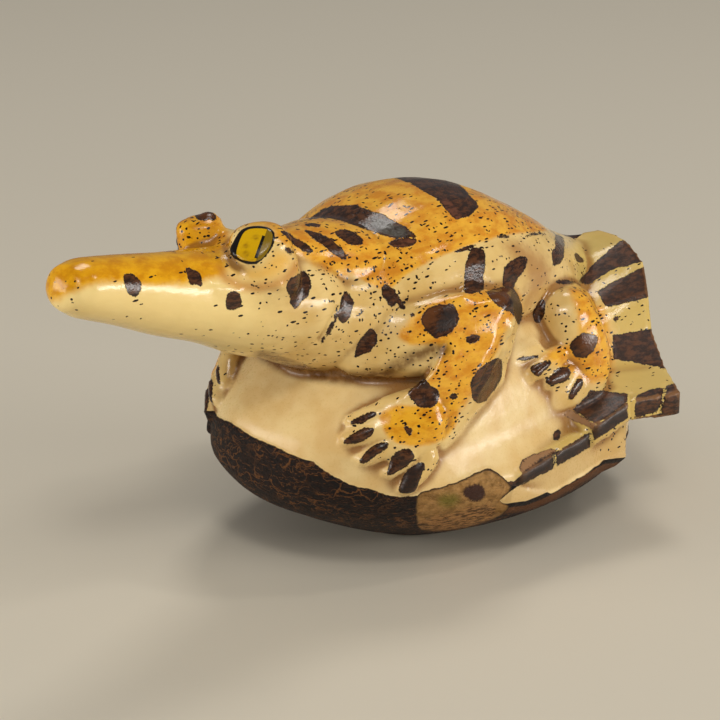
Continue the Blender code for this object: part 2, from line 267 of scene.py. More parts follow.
BODY_MARKS = {
    "neck_streak": [
        (301, 228), (317, 232), (328, 237), (338, 245), (346, 253), (347, 260), (339, 258), (330, 252),
        (320, 244), (311, 237),
    ],
    "neck_dash": [(302, 224), (312, 222.5), (322, 224), (320, 227), (309, 227)],
    "neck_lens": [(333, 231), (344, 229), (355, 232), (365, 240), (361, 245), (349, 245), (340, 240)],
    "back_band": [
        (304, 222), (313, 215), (324, 208), (336, 205), (356, 204), (366, 209), (380, 213), (392, 220),
        (405, 226), (412, 232), (418, 238), (402, 238), (387, 237), (372, 232), (359, 227), (345, 222),
        (329, 218), (315, 219),
    ],
    "band_foot": [(386, 243), (392, 240), (410, 237), (418, 239), (415, 246), (402, 248), (393, 247)],
    "back_wedge": [
        (388, 176), (412, 172), (438, 173), (453, 179), (463, 187), (471, 196), (480, 207), (475, 211),
        (470, 217), (461, 218), (457, 221), (447, 212), (438, 200), (430, 195), (422, 191), (412, 184),
        (400, 180),
    ],
    "shoulder_block": [
        (344, 290), (348, 292), (354, 299), (352, 314), (345, 324), (340, 323), (338, 314), (341, 300),
    ],
    "armpit_leaf": [
        (372, 326), (377, 333), (378, 342), (371, 351), (362, 355), (354, 358), (356, 347), (362, 336),
    ],
    "side_cluster": [
        (381, 285), (389, 284), (398, 294), (406, 308), (404, 311), (399, 308), (396, 301), (394, 308),
        (391, 309), (386, 301), (381, 295),
    ],
    "side_dash": [(454, 250), (476, 243), (477, 247), (455, 254)],
    "side_block": [
        (469, 251), (477, 246), (485, 250), (486, 264), (483, 277), (485, 292), (463, 295), (464, 279),
        (465, 264),
    ],
    "rump_leaf": [
        (522, 255), (528, 259), (527, 267), (517, 280), (514, 289), (502, 289), (503, 270), (509, 261),
    ],
    "ledge_dash": [(495, 235), (509, 235), (509, 238.5), (496, 238.5)],
    "ledge_dash_back": [(524, 234), (543, 231.5), (543, 234), (528, 236), (526, 239)],
    "side_dab": [(497, 255), (505, 252), (506, 254), (499, 258)],
    "hip_block": [
        (554, 234), (560, 235), (565, 239), (564, 259), (560, 264), (552, 267), (551, 253), (556, 245),
    ],
    "hip_dab": [(574, 251), (586, 260), (581, 264), (575, 260)],
}
LONE_MARKS = {
    "far_brow": [(193, 217), (198, 211), (207, 209), (215, 213), (218, 221), (208, 219), (200, 221)],
}
LIMB_MARKS = {
    "arm_round": [
        (420, 321), (423, 312), (433, 305), (454, 303), (458, 310), (460, 318), (457, 326), (452, 333),
        (436, 340), (431, 336), (425, 329),
    ],
    "arm_dab": [(408, 313), (413, 311), (416, 315), (412, 318)],
    "arm_pair": [(465, 340), (470, 335), (478, 334), (483, 337), (478, 341), (471, 345)],
    "elbow_cap": [
        (486, 291), (497, 288), (508, 286), (514, 288), (520, 298), (523, 309), (522, 321), (518, 327),
        (515, 318), (511, 313), (498, 306), (490, 299),
    ],
    "elbow_lens": [
        (497, 357), (502, 360), (503, 367), (501, 380), (495, 391), (485, 402), (478, 404), (472, 400),
        (471, 392), (470, 383), (474, 375), (484, 364),
    ],
    "wrist_mark": [
        (425, 377), (428, 383), (438, 389), (440, 397), (437, 404), (432, 408), (419, 408), (413, 401),
        (407, 395), (409, 390), (416, 385),
    ],
    "wrist_dab": [(448, 396), (455, 391), (459, 398), (452, 401)],
    "hand_dab": [(403, 425), (411, 427), (413, 431), (410, 436), (405, 432)],
    "knee_line": [(551, 281), (564, 279), (578, 283), (564, 285)],
    "shin_mark": [
        (569, 344), (579, 335), (585, 332), (599, 337), (597, 343), (595, 350), (586, 358), (577, 359),
        (570, 350),
    ],
    "knee_blur": [(539, 300), (546, 299), (545, 314), (541, 324), (534, 322), (532, 313)],
}
HAND_CLAWS = {
    "first": [(348, 424), (353, 419), (373, 411), (377, 413), (374, 418), (364, 423), (355, 425)],
    "second": [
        (342, 445), (344, 440), (360, 429), (367, 427), (376, 428), (372, 435), (364, 441), (353, 444),
    ],
    "third": [
        (358, 462), (364, 454), (374, 444), (381, 442), (391, 443), (386, 450), (377, 455), (364, 464),
    ],
    "fourth": [
        (386, 475), (389, 464), (391, 456), (399, 449), (410, 448), (415, 456), (411, 463), (399, 471),
        (393, 475),
    ],
    "thumb": [
        (403, 476), (410, 467), (419, 461), (426, 464), (422, 473), (419, 483), (415, 493), (398, 494),
        (400, 484),
    ],
}
FOOT_CLAWS = {
    "first": [(512, 360), (525, 356), (539, 355), (538, 358), (526, 361)],
    "second": [(529, 368), (537, 363), (554, 360), (550, 365), (538, 378), (531, 372)],
    "third": [(544, 382), (552, 373), (558, 367), (569, 367), (571, 374), (567, 381), (552, 386)],
    "fourth": [(578, 376), (585, 382), (572, 401), (566, 398)],
}
TAIL_MARKS = {
    "fan_upper": [
        (578, 281), (598, 259), (620, 241), (634, 240), (645, 250), (643, 262), (611, 270), (587, 286),
    ],
    "fan_middle": [(597, 292), (609, 284), (645, 266), (654, 291), (647, 298), (606, 308)],
    "fan_lower": [(612, 335), (655, 328), (666, 352), (672, 370), (641, 364), (613, 359)],
    "fan_dot": [(612, 319), (616, 315), (620, 319), (616, 323)],
    "block_top": [(572, 410), (591, 390), (608, 391), (628, 394), (628, 401), (597, 425)],
    "block_side": [(597, 425), (628, 401), (628, 418), (593, 442), (592, 428)],
    "block_edge": [(562, 415), (567, 409), (572, 410), (597, 425), (592, 430)],
    "tip_side": [(636, 396), (650, 389), (664, 387), (663, 397), (658, 411), (634, 419)],
    "tip_end": [(667, 385), (686, 381), (688, 398), (675, 421), (660, 412), (665, 397)],
    "tip_under": [(632, 420), (658, 413), (671, 415), (655, 425), (628, 424)],
    "strip_back": [(590, 431), (590, 447), (556, 467), (556, 452)],
    "strip_front": [(553, 454), (553, 469), (518, 487), (510, 485), (519, 476)],
    "strip_patch": [(523, 476), (519, 468), (522, 460), (526, 457), (551, 448), (557, 452)],
    "strip_knot": [(504, 482), (512, 481), (519, 484), (513, 490), (507, 490)],
    "strip_mark": [(554, 432), (559, 429), (561, 434), (558, 441), (552, 440)],
}
# Marks out of the photograph's sight, in millimetres: seen from above, left and back
ABOVE_MARKS = {
    "rear_band": [(-7.5, 8.6), (-3.0, 7.4), (0.5, 8.2), (3.6, 9.6), (0.5, 10.6), (-3.5, 10.0)],
    "rump_band": [(-5.2, 13.4), (-1.0, 12.4), (3.0, 13.4), (4.4, 15.2), (0.2, 15.0), (-3.6, 15.6)],
    "tail_root": [(-1.6, 18.2), (1.0, 17.6), (1.8, 21.8), (-0.6, 22.4)],
    "far_leaf": [(-6.8, 2.4), (-4.6, 1.2), (-3.0, 3.4), (-3.4, 5.6), (-5.6, 5.0)],
}
# Marks on the hidden side in millimetres: seen from the animal's right, front to back and up
RIGHT_MARKS = {
    "tail_bar": [(-21.6, 21.4), (-20.2, 18.2), (-18.8, 18.4), (-19.4, 21.6)],
    "rump_round": [(-15.4, 19.6), (-13.6, 18.0), (-12.2, 19.4), (-13.2, 21.6), (-15.0, 21.4)],
}
# Orange stain: its outline, the width in millimetres over which it fades, and its reach in depth
STAINED = {
    "dome": ([
        (296, 228), (300, 215), (330, 180), (370, 165), (440, 160), (500, 175), (540, 205), (566, 226),
        (543, 232), (508, 234), (477, 243), (454, 251), (430, 261), (405, 275), (388, 292), (372, 286),
        (350, 272), (322, 250),
    ], 0.3, 2.6),
    "snout": ([
        (40, 290), (46, 270), (60, 250), (100, 244), (170, 240), (170, 205), (226, 205), (230, 236),
        (224, 254), (228, 266), (222, 276), (205, 281), (190, 284), (150, 287), (110, 281), (75, 290),
        (52, 304),
    ], 0.8, 2.0),
    "brow": ([
        (232, 228), (250, 212), (275, 213), (302, 224), (330, 240), (352, 268), (346, 280), (320, 268),
        (296, 252), (276, 240), (270, 226),
    ], 0.8, 2.0),
    "upper_arm": ([
        (396, 336), (409, 320), (423, 306), (441, 298), (485, 288), (518, 286), (524, 315), (511, 316),
        (497, 356), (473, 396), (452, 420), (425, 412), (418, 392), (432, 372), (444, 352), (438, 344),
        (410, 346),
    ], 0.5, 1.6),
    "hand": ([
        (378, 413), (397, 404), (420, 406), (440, 392), (462, 400), (456, 428), (441, 443), (411, 447),
        (393, 442), (383, 431),
    ], 0.35, 1.4),
    "leg": ([
        (566, 282), (592, 288), (608, 318), (614, 362), (610, 380), (590, 384), (560, 368), (540, 356),
        (556, 346), (580, 340), (578, 318), (574, 300),
    ], 0.8, 1.4),
}
# Where the tail is greener, where a mark on the back is grey paint with a painted sheen, and where marks on
# the back are reddish
TAIL_TINT = [
    (590, 228), (640, 243), (650, 300), (670, 372), (686, 386), (670, 418), (630, 426), (592, 446),
    (515, 488), (522, 464), (556, 440), (572, 408), (612, 384), (618, 330), (600, 290), (574, 284),
    (578, 240),
]
BAND_GREY_SHEEN = [(370, 222), (379, 217), (392, 222), (408, 230), (413, 236), (400, 238), (385, 235), (373, 229)]
RED_STRIPS = {
    "band": [(384, 244), (392, 239), (418, 237), (420, 246), (402, 250), (388, 249)],
    "wedge": [(439, 196), (446, 197), (453, 204), (463, 216), (458, 222), (448, 213)],
}
# Parts of marks whose paint is thin and brown. They have their marks' names, which set the far side's shift
THIN_PAINT = {
    "elbow_cap": [(484, 290), (497, 287), (508, 285), (512, 290), (508, 304), (500, 306), (490, 299)],
    "elbow_lens": [
        (503, 362), (504, 368), (501, 381), (495, 392), (486, 402), (480, 402), (490, 386), (497, 370),
    ],
    "arm_round": [
        (419, 321), (422, 312), (432, 304), (446, 302), (440, 312), (432, 322), (428, 332), (424, 330),
    ],
    "shin_mark": [(576, 340), (586, 331), (600, 336), (596, 348), (588, 352), (580, 350)],
    "far_brow": [(196, 217), (200, 210), (207, 208), (216, 212), (219, 222), (208, 220)],
}
# Parts of marks that are nearly black: thick paint on the arm's blot and the thumb, and painted shade on the
# elbow's far side and on the tail's side faces
DARK_PAINT_AND_SHADE = {
    "arm_blot": [(438, 318), (444, 308), (455, 305), (459, 315), (455, 328), (444, 334), (434, 331)],
    "cap_shade": [(511, 288), (518, 294), (524, 308), (523, 324), (517, 330), (513, 312), (509, 300)],
    "lens_shade": [(500, 358), (506, 362), (505, 376), (498, 392), (486, 404), (492, 390), (498, 374)],
    "block_side": TAIL_MARKS["block_side"],
    "strip_front": TAIL_MARKS["strip_front"],
    "strip_back": TAIL_MARKS["strip_back"],
    "thumb": HAND_CLAWS["thumb"],
}
# Darker brown on the flank and hip, between the arm and the leg: a brownish tint and painted shade
FLANK_SHADE_AND_SOIL = [
    (500, 246), (516, 238), (530, 244), (552, 260), (554, 280), (543, 296), (530, 312), (518, 318),
    (521, 296), (526, 276), (514, 262),
]
# Stretches over which a share rises, in millimetres: forwards along the snout for the gold and for the
# bare part without specks, then upwards and backwards for the stain on the far side's top
SNOUT_GOLD = (21.0, 27.0)
SNOUT_BARE = (25.0, 28.5)
TOP_STAIN_UP = (24.0, 27.5)
TOP_STAIN_BACK = (-17.0, -12.0)
# Where short dabs crowd the neck and shoulder
CROWDED = [
    (312, 258), (334, 244), (362, 256), (392, 276), (408, 300), (404, 330), (384, 336), (350, 322),
    (326, 300),
]
# The golden tint below the eye
LID_GLOW = [
    (214, 258), (224, 268), (236, 276), (254, 281), (274, 277), (290, 266), (288, 254), (276, 252),
    (264, 268), (244, 270), (232, 264), (224, 250),
]
# Edges of marks where the paint is nearly gone
CHIPPED = {
    "strip": [(520, 475), (519, 467), (526, 457), (551, 447), (557, 451), (540, 460)],
    "block": [(560, 415), (566, 408), (573, 410), (598, 425), (593, 432)],
}
# Painted shadow: a brown line along the crease below the chest, where it overhangs the nut
CHEST_SHADOW_LINE = [
    (262, 356), (285, 364), (310, 372), (335, 377), (360, 378), (385, 374), (411, 358), (431, 350),
    (444, 350),
]
# The eye: its rim, the golden disc in it, the slit pupil's two ends and half width, and its small dots
EYE_RIM = [
    (229, 251), (233, 239), (239, 230), (247, 226), (258, 225), (269, 227), (275, 231), (276, 239),
    (273, 249), (267, 258), (260, 265), (251, 266), (241, 263), (233, 259),
]
EYE_GOLD = [
    (236, 252), (239, 242), (243, 233), (248, 229), (258, 228), (268, 229), (273, 233), (272, 243),
    (268, 252), (261, 260), (253, 262), (242, 260), (237, 257),
]
PUPIL_TOP = (264.0, 235.0)
PUPIL_FOOT = (255.5, 259.0)
PUPIL_HALF_WIDTH = 1.5
# Half the pupil's length on the carving, in millimetres
PUPIL_HALF_LENGTH = 1.05
IRIS_DOTS = [[(255, 237), (256, 238)], [(246, 245), (246, 246)], [(246, 253), (247, 254)]]
# The top edge of the nut's dark skin along its near side, in pixels. The far side's is guessed, as turns
# round the nut in degrees with heights in millimetres
SKIN_EDGE = [
    (209, 411), (233, 423), (256, 438), (276, 446), (296, 456), (313, 461), (334, 476), (356, 486),
    (370, 488), (386, 494), (401, 496), (417, 495), (432, 489), (455, 483), (476, 472), (489, 468),
    (499, 474), (511, 485),
]
FAR_SKIN = [
    (40.0, 7.2), (70.0, 6.4), (100.0, 6.0), (130.0, 7.5), (160.0, 9.5), (185.0, 11.5), (215.0, 12.5),
    (240.0, 13.0),
]
# The beige scar where the nut hung from its stalk, with its dark and its green stain
SCAR = [
    (416, 494), (432, 489), (455, 483), (476, 472), (489, 468), (499, 474), (511, 484), (513, 490),
    (500, 500), (512, 506), (500, 518), (470, 529), (440, 533), (417, 532), (415, 512),
]
SCAR_DARK = [(461, 493), (466, 486), (481, 483), (487, 492), (483, 500), (472, 503)]
SCAR_GREEN = [(438, 496), (456, 494), (460, 500), (452, 507), (440, 506)]
# The pale flat cut below the tail, whose ivory is painted darker as shade where it faces down under the tail
UNDER_CUT = [
    (512, 490), (499, 501), (504, 504), (526, 501), (541, 495), (557, 487), (582, 472), (603, 460),
    (627, 457), (629, 418), (592, 444), (559, 465), (520, 485),
]
# The smooth flesh in front of and below the eye
LID_FLESH = [
    (212, 244), (216, 268), (230, 282), (252, 286), (276, 282), (292, 268), (290, 256), (276, 256),
    (262, 270), (244, 271), (230, 265), (226, 250), (230, 238), (222, 236),
]
CHEEK_FLESH = [
    (240, 290), (258, 289), (278, 289), (290, 292), (294, 302), (282, 314), (258, 316), (242, 306),
]
# Lines cut or raised: behind the jaw, below the lid, along the forearm, the cheek and the flank's ledge
JAW_LINE = [(338, 308), (334, 317), (327, 330), (319, 340)]
LID_LINE = [(219, 268), (226, 279), (240, 286), (256, 288), (274, 285), (288, 278), (296, 267)]
ARM_RIDGE = [(510, 315), (503, 334), (497, 352), (485, 374), (472, 397), (456, 420), (444, 436)]
CHEEK_RIDGE = [(215, 284), (240, 284), (262, 284), (280, 278), (292, 266), (297, 254)]
LEDGE = [(452, 257), (464, 250), (477, 244), (500, 239), (524, 236), (546, 233)]
# Each line's height in millimetres, cut in where negative, and its half width
GROOVES = (
    (JAW_LINE, -0.22, 0.35), (LEDGE, -0.09, 0.45), (CHEEK_RIDGE, 0.05, 0.7), (LID_LINE, -0.07, 0.5),
    (ARM_RIDGE, -0.22, 0.8),
)
# Notches cut into the tail
TAIL_NOTCHES = [
    [(590, 427), (590, 446)], [(555, 451), (554, 468)], [(631, 394), (631, 420)], [(666, 386), (659, 412)],
]
# How much of each side a rounded corner takes, and how often
CORNER_SHARE = 0.22
CORNER_ROUNDS = 2
# Rays cast across and down an outline's box, to find the skin that it lies on
RAYS_ACROSS = 13
# Other carving in millimetres: how far it rises or cuts in, and the half widths of its lines
EYE_BULGE = 0.25
EYE_RIM_CUT = 0.10
EYE_RIM_HALF_WIDTH = 0.22
CLAW_RISE = 0.14
NOTCH_CUT = 0.20
NOTCH_HALF_WIDTH = 0.28
LIP_RISE = 0.22
# How often each point takes its neighbours' mean: on soft flesh, to find the hollows that get painted shade,
# and to find crests
FLESH_PASSES = 20
HOLLOW_PASSES = 24
CREST_PASSES = 6
# The pupils' places are worked out this many pixels round the eye's middle, on points as high as this in
# millimetres and this far to their side. All other points get a distance that is far away
EYE_PIXELS = 40
EYE_FLOOR = 24.0
EYE_SIDE = 1.0
FAR_AWAY = 9.0

# Black specks, layer by layer: cells per millimetre, stretch, the share of cells that hold one, and where
SPECK_LAYERS = (
    (2.0, (1.5, 0.45, 1.4), 0.95, "specks"),
    (1.9, (0.7, 1.3, 1.4), 0.45, "specks"),
    (2.7, (1.2, 0.9, 0.55), 1.0, "crowded"),
)
# A speck's least size and how much more it may have, as shares of a cell
SPECK_LEAST = 0.17
SPECK_SPREAD = 0.16
# The varnish
GLOSS = {
    "Specular IOR Level": 0.32,
    "Coat Weight": 0.06,
    "Coat Roughness": 0.10,
    "Subsurface Weight": 0.06,
    "Subsurface Radius": (1.0, 0.7, 0.4),
    "Subsurface Scale": 0.0007,
}
# Colours as seen: red, green and blue from 0 to 255
COLOURS = {
    "ivory": (228, 196, 128), "ivory_shade": (212, 174, 102), "growth_line": (196, 156, 92),
    "nut": (232, 204, 146), "nut_shade": (220, 184, 122), "tail_ivory": (206, 176, 96),
    "golden_ivory": (246, 218, 146), "soil_and_shade": (160, 108, 60), "lid_glow": (238, 178, 60),
    "under_tail_shade": (190, 152, 92), "orange": (232, 172, 54), "deep_orange": (208, 134, 32),
    "gold": (228, 166, 18), "deep_gold": (202, 134, 2), "hollow_shade": (136, 84, 30), "chest_shadow": (92, 54, 14),
    "lid_crease_shade": (192, 124, 40), "speck": (26, 17, 12), "brown": (44, 26, 16), "brown_streak": (88, 52, 28),
    "grey_paint_and_sheen": (76, 74, 66), "red": (108, 64, 44), "thin": (98, 56, 24), "mark_rim": (26, 16, 11),
    "wear_and_highlight": (134, 92, 52), "chipped": (164, 122, 80), "thick": (24, 15, 10), "eye_rim": (20, 15, 11),
    "iris": (212, 166, 0), "olive": (134, 106, 16), "iris_dot": (128, 84, 2), "pupil": (20, 15, 10),
    "skin": (8, 1, 0), "skin_streak": (34, 14, 3), "fibre": (132, 82, 36), "sliver": (98, 58, 24),
    "cut_rim": (16, 7, 2), "scar": (172, 130, 74), "scar_shade": (132, 96, 46), "rind_dark": (56, 32, 12),
    "rind_pale": (176, 126, 72), "scar_green": (104, 98, 22), "scar_dark": (60, 34, 22),
    "scar_rim": (34, 20, 12), "floor": (212, 203, 184),
}

# Soft lights in the frame's metres: name, place, width, height and power
LIGHTS = (
    ("window", (0.385, 0.213, 0.080), 0.235, 0.09, 1.0),
    ("front", (0.30, -0.32, 0.46), 0.40, 0.40, 1.0),
    ("glint", (0.31, -0.33, 0.47), 0.09, 0.09, 0.7),
    ("side_window", (0.30, 0.20, 0.42), 0.05, 0.05, 0.2),
    ("above", (-0.12, 0.21, 0.50), 0.15, 0.15, 0.6),
    ("fill", (-0.30, -0.44, 0.10), 0.40, 0.20, 1.4),
)
LIGHT_COLOUR = (1.0, 0.97, 0.93)
LIT_SPOT = (0, 0, 0.012)
WORLD_COLOUR = (0.92, 0.95, 1.0, 1.0)
WORLD_STRENGTH = 0.16
FLOOR_REACH = 1.5


# Shapes

def smooth_rows(rows, per_span):
    """Catmull-Rom curve: each value is a cubic between two rows, with slopes from the rows beside them."""
    rows = np.array(rows, float)
    ends = np.vstack([2 * rows[0] - rows[1], rows, 2 * rows[-1] - rows[-2]])
    t = np.linspace(0, len(rows) - 1, (len(rows) - 1) * per_span + 1)
    span = np.minimum(t.astype(int), len(rows) - 2)
    u = (t - span)[:, None]
    before, start, end, after = (ends[span + k] for k in range(4))
    return 0.5 * (
        2 * start
        + (end - before) * u
        + (2 * before - 5 * start + 4 * end - after) * u**2
        + (3 * start - before - 3 * end + after) * u**3
    )


def superellipse(turn, squareness):
    """Across = |cos|^(2/n) and up = |sin|^(2/n), each with its sign, where n is the squareness."""
    power = 2.0 / squareness
    across = np.sign(np.cos(turn)) * np.abs(np.cos(turn)) ** power
    up = np.sign(np.sin(turn)) * np.abs(np.sin(turn)) ** power
    return across, up


def tube(sections, up=(0, 0, 1), squareness=2.0, cap=1.0, sides=28, per_span=ROWS_PER_SPAN):
    """Point = centre(t) + push * along + shrink * (across * half width * cos + rise * half height * sin).
    Centre and half sizes follow a smooth curve. In the rounded ends shrink is cos a and push is sin a."""
    rows = smooth_rows(sections, per_span)
    centre = rows[:, :3]
    half = np.maximum(rows[:, 3:], 0.05)
    along = np.gradient(centre, axis=0)
    along /= np.linalg.norm(along, axis=1)[:, None]
    across = np.cross(along, up)
    across /= np.linalg.norm(across, axis=1)[:, None]
    rise = np.cross(across, along)
    swell = np.linspace(0.5 * math.pi, 0, CAP_RINGS, endpoint=False)
    last = len(rows) - 1
    row = np.concatenate([np.zeros(CAP_RINGS, int), np.arange(last + 1), np.full(CAP_RINGS, last)])
    angle = np.concatenate([swell, np.zeros(last + 1), swell[::-1]])
    way = np.concatenate([-np.ones(CAP_RINGS), np.zeros(last + 1), np.ones(CAP_RINGS)])
    push = way * cap * half.min(axis=1)[row] * np.sin(angle)
    shrink = np.where(way == 0, 1.0, np.cos(angle) + 0.01)
    wide, high = superellipse(np.linspace(0, 2 * math.pi, sides, endpoint=False), squareness)
    middle = centre[row] + along[row] * push[:, None]
    sideways = across[row, None] * (half[row, :1] * shrink[:, None] * wide)[..., None]
    upwards = rise[row, None] * (half[row, 1:] * shrink[:, None] * high)[..., None]
    return middle[:, None] + sideways + upwards


def nut_shell():
    """At each height an oval: centre + half width * |cos|^(2/n) and half length * |sin|^(2/n)."""
    rows = smooth_rows(NUT_SECTIONS, ROWS_PER_SPAN)
    turn = np.linspace(0, 2 * math.pi, NUT_SIDES, endpoint=False)
    wide, long = superellipse(turn, rows[:, 5:6])
    left = rows[:, 1:2] + rows[:, 3:4] * wide
    back = rows[:, 2:3] + rows[:, 4:5] * long
    height = np.repeat(rows[:, :1], len(turn), axis=1)
    return np.stack([left, back, height], axis=-1)


def tail_slab():
    """At each station four corners: the outer and inner top edges, and both lowered by the thickness."""
    outer = np.array([station[0] for station in TAIL_STATIONS])
    inner = np.array([station[1] for station in TAIL_STATIONS])
    down = np.array([(0.0, 0.0, -station[2]) for station in TAIL_STATIONS])
    return np.stack([outer, inner, inner + down, outer + down], axis=1)


def forearm(side):
    """At each station five corners: front edge, ridge, back edge, then back and front moved inwards."""
    front, ridge, back = np.array(FOREARM_STATIONS).transpose(1, 0, 2)
    corners = [front, ridge, back, back + BACK_INWARD, front + FRONT_INWARD]
    return np.stack(corners, axis=1) * (side, 1, 1)


def under_tail():
    """At each station five corners: top and foot of the flat cut, the underside, then two moved inwards."""
    top, bottom, under = np.array(UNDER_TAIL).transpose(1, 0, 2)
    return np.stack([top, bottom, under, under + UNDER_INWARD, top + UNDER_INWARD], axis=1)


def digit(line):
    """Three sections of a tapering tube along one straight line."""
    (start, tip), (thick, thin) = line, DIGIT_THICK
    middle = tuple(0.5 * (a + b) for a, b in zip(start, tip))
    return [(*start, thick, thick), (*middle, thick * 0.9, thick * 0.9), (*tip, thin, thin)]


def on_side(side, sections):
    """The same sections on the animal's left for 1 and on its right for -1."""
    return [(side * left, *rest) for left, *rest in sections]


def all_forms():
    """Every form as rings of points: the single ones, then both sides' cheeks, limbs, fingers and toes."""
    forms = [nut_shell(), tail_slab(), under_tail(), tube(TORSO), tube(NECK), tube(CROWN)]
    forms += [tube(HEAD, cap=0.6), tube(SADDLE), tube(LID, up=OUTWARD)]
    forms.append(tube(EYE_TURRET, up=(0.8, -0.6, 0), squareness=2.4, cap=0.65))
    forms.append(tube(FAR_TURRET, up=(0.62, -0.78, 0), squareness=3.0, cap=0.4))
    forms.append(tube(FAR_BUMP, up=(0, 1, 0), cap=0.8))
    for side in (1, -1):
        outward = (OUTWARD[0] * side, *OUTWARD[1:])
        for sections, square in SIDE_FORMS:
            forms.append(tube(on_side(side, sections), up=outward, squareness=square))
        forms.append(forearm(side))
        for line in FINGERS + TOES:
            forms.append(tube(on_side(side, digit(line)), up=outward, sides=12, per_span=2))
    return forms


def closed_skin(rings):
    """Quads between neighbouring rings of points, with one face over each end."""
    count, sides = rings.shape[:2]
    row, side = np.meshgrid(np.arange(count - 1), np.arange(sides), indexing="ij")
    beside = (side + 1) % sides
    start, after = row * sides, (row + 1) * sides
    quads = np.stack([start + side, start + beside, after + beside, after + side], -1)
    faces = quads.reshape(-1, 4).tolist()
    faces.append(list(range(sides - 1, -1, -1)))
    faces.append(list(range((count - 1) * sides, count * sides)))
    # The signed volume says whether the rings run the wrong way round
    corners = rings.reshape(-1, 3)[quads.reshape(-1, 4)]
    middle = rings.reshape(-1, 3).mean(axis=0)
    spread = np.cross(corners[:, 1] - middle, corners[:, 2] - middle)
    outward = np.einsum("ij,ij->", corners[:, 0] - middle, spread) > 0
    return faces if outward else [face[::-1] for face in faces]


def joined_mesh(forms):
    """One mesh of all the forms' closed skins, each starting after the points of those before it."""
    points, faces = [], []
    for rings in forms:
        start = sum(len(part) for part in points)
        faces += [[start + corner for corner in face] for face in closed_skin(rings)]
        points.append(rings.reshape(-1, 3))
    mesh = bpy.data.meshes.new("joined_forms")
    mesh.from_pydata(np.concatenate(points).tolist(), [], faces)
    return mesh


def fused_skin():
    """All forms fused by a voxel remesh and sanded by a smoothing pass, in millimetres."""
    obj = bpy.data.objects.new("joined_forms", joined_mesh(all_forms()))
    bpy.context.scene.collection.objects.link(obj)
    fuse = obj.modifiers.new("fuse", "REMESH")
    fuse.mode = "VOXEL"
    fuse.voxel_size = VOXEL
    sand = obj.modifiers.new("sand", "SMOOTH")
    sand.factor = 0.5
    sand.iterations = SANDING_PASSES
    shown = obj.evaluated_get(bpy.context.evaluated_depsgraph_get())
    mesh = bpy.data.meshes.new_from_object(shown)
    bpy.data.objects.remove(obj)
    return mesh


def read_points(mesh):
    """The mesh's points and their normals, one row each."""
    points = np.empty(len(mesh.vertices) * 3)
    mesh.vertices.foreach_get("co", points)
    normals = np.empty(len(mesh.vertices) * 3)
    mesh.vertices.foreach_get("normal", normals)
    return points.reshape(-1, 3), normals.reshape(-1, 3)


# Ways of looking at the carving

def unit(vector):
    """The vector divided by its length."""
    return np.asarray(vector, float) / np.linalg.norm(vector)


class Sight:
    """A pinhole view. A pixel is the middle + focal length * (right, -up) / distance from the eye."""

    def __init__(self, eye, toward, right, focal, middle, side=1):
        self.eye, self.toward, self.right = np.asarray(eye, float), unit(toward), unit(right)
        self.up = np.cross(self.toward, self.right)
        self.focal, self.middle = focal, np.asarray(middle, float)
        self.flip = np.array([side, 1.0, 1.0])

    def pixels(self, points):
        """The pixel of each point."""
        gap = points * self.flip - self.eye
        distance = -(gap @ self.toward)
        flat = np.stack([gap @ self.right, -(gap @ self.up)], axis=-1)
        return self.middle + self.focal * flat / distance[..., None]

    def facing(self, normals):
        """1 for a normal that points at the eye, 0 for one that is square to that way."""
        return (normals * self.flip) @ self.toward

    def hits(self, tree, pixels):
        """Where the ray through each pixel first meets the skin, leaving out those that miss."""
        found = []
        for across, down in pixels - self.middle:
            way = unit(self.right * across - self.up * down - self.toward * self.focal)
            place = tree.ray_cast(Vector(self.eye * self.flip), Vector(way * self.flip))[0]
            if place is not None:
                found.append(tuple(place))
        return np.array(found).reshape(-1, 3)


def view_ways(turn, rise):
    """The ways towards the eye and to its right, from its turn and rise in degrees."""
    turn, rise = math.radians(turn), math.radians(rise)
    toward = (math.sin(turn) * math.cos(rise), -math.cos(turn) * math.cos(rise), math.sin(rise))
    return np.array(toward), np.array((math.cos(turn), math.sin(turn), 0.0))


def photo_sight(side=1):
    """The photograph's own view for 1, and its mirror image, which sees the animal's right, for -1."""
    toward, right = view_ways(CAMERA_TURN, CAMERA_RISE)
    across, down = (PHOTO_MIDDLE - AIM_PIXEL) * PIXEL_SPAN
    aim_place = AIM_POINT + right * across - np.cross(toward, right) * down
    return Sight(aim_place + toward * CAMERA_DISTANCE, toward, right, LENS_PIXELS, PHOTO_MIDDLE, side)


def far_eye_sight():
    """The far eye's own view, in which the far eye's middle is at the near eye's pixel."""
    toward, right = view_ways(FAR_EYE_TURN, FAR_EYE_RISE)
    return Sight(FAR_EYE + toward * CAMERA_DISTANCE, toward, right, LENS_PIXELS, NEAR_EYE_PIXEL, side=-1)


def plain_sight(toward, right):
    """A view from far away, whose pixels are millimetres at the origin."""
    return Sight(unit(toward) * PLAIN_DISTANCE, toward, right, PLAIN_DISTANCE, (0.0, 0.0))


def upright(marks):
    """The same outlines with up written as up, as a view's pixels count downwards."""
    return {name: [(across, -up) for across, up in outline] for name, outline in marks.items()}


# Fields on the skin

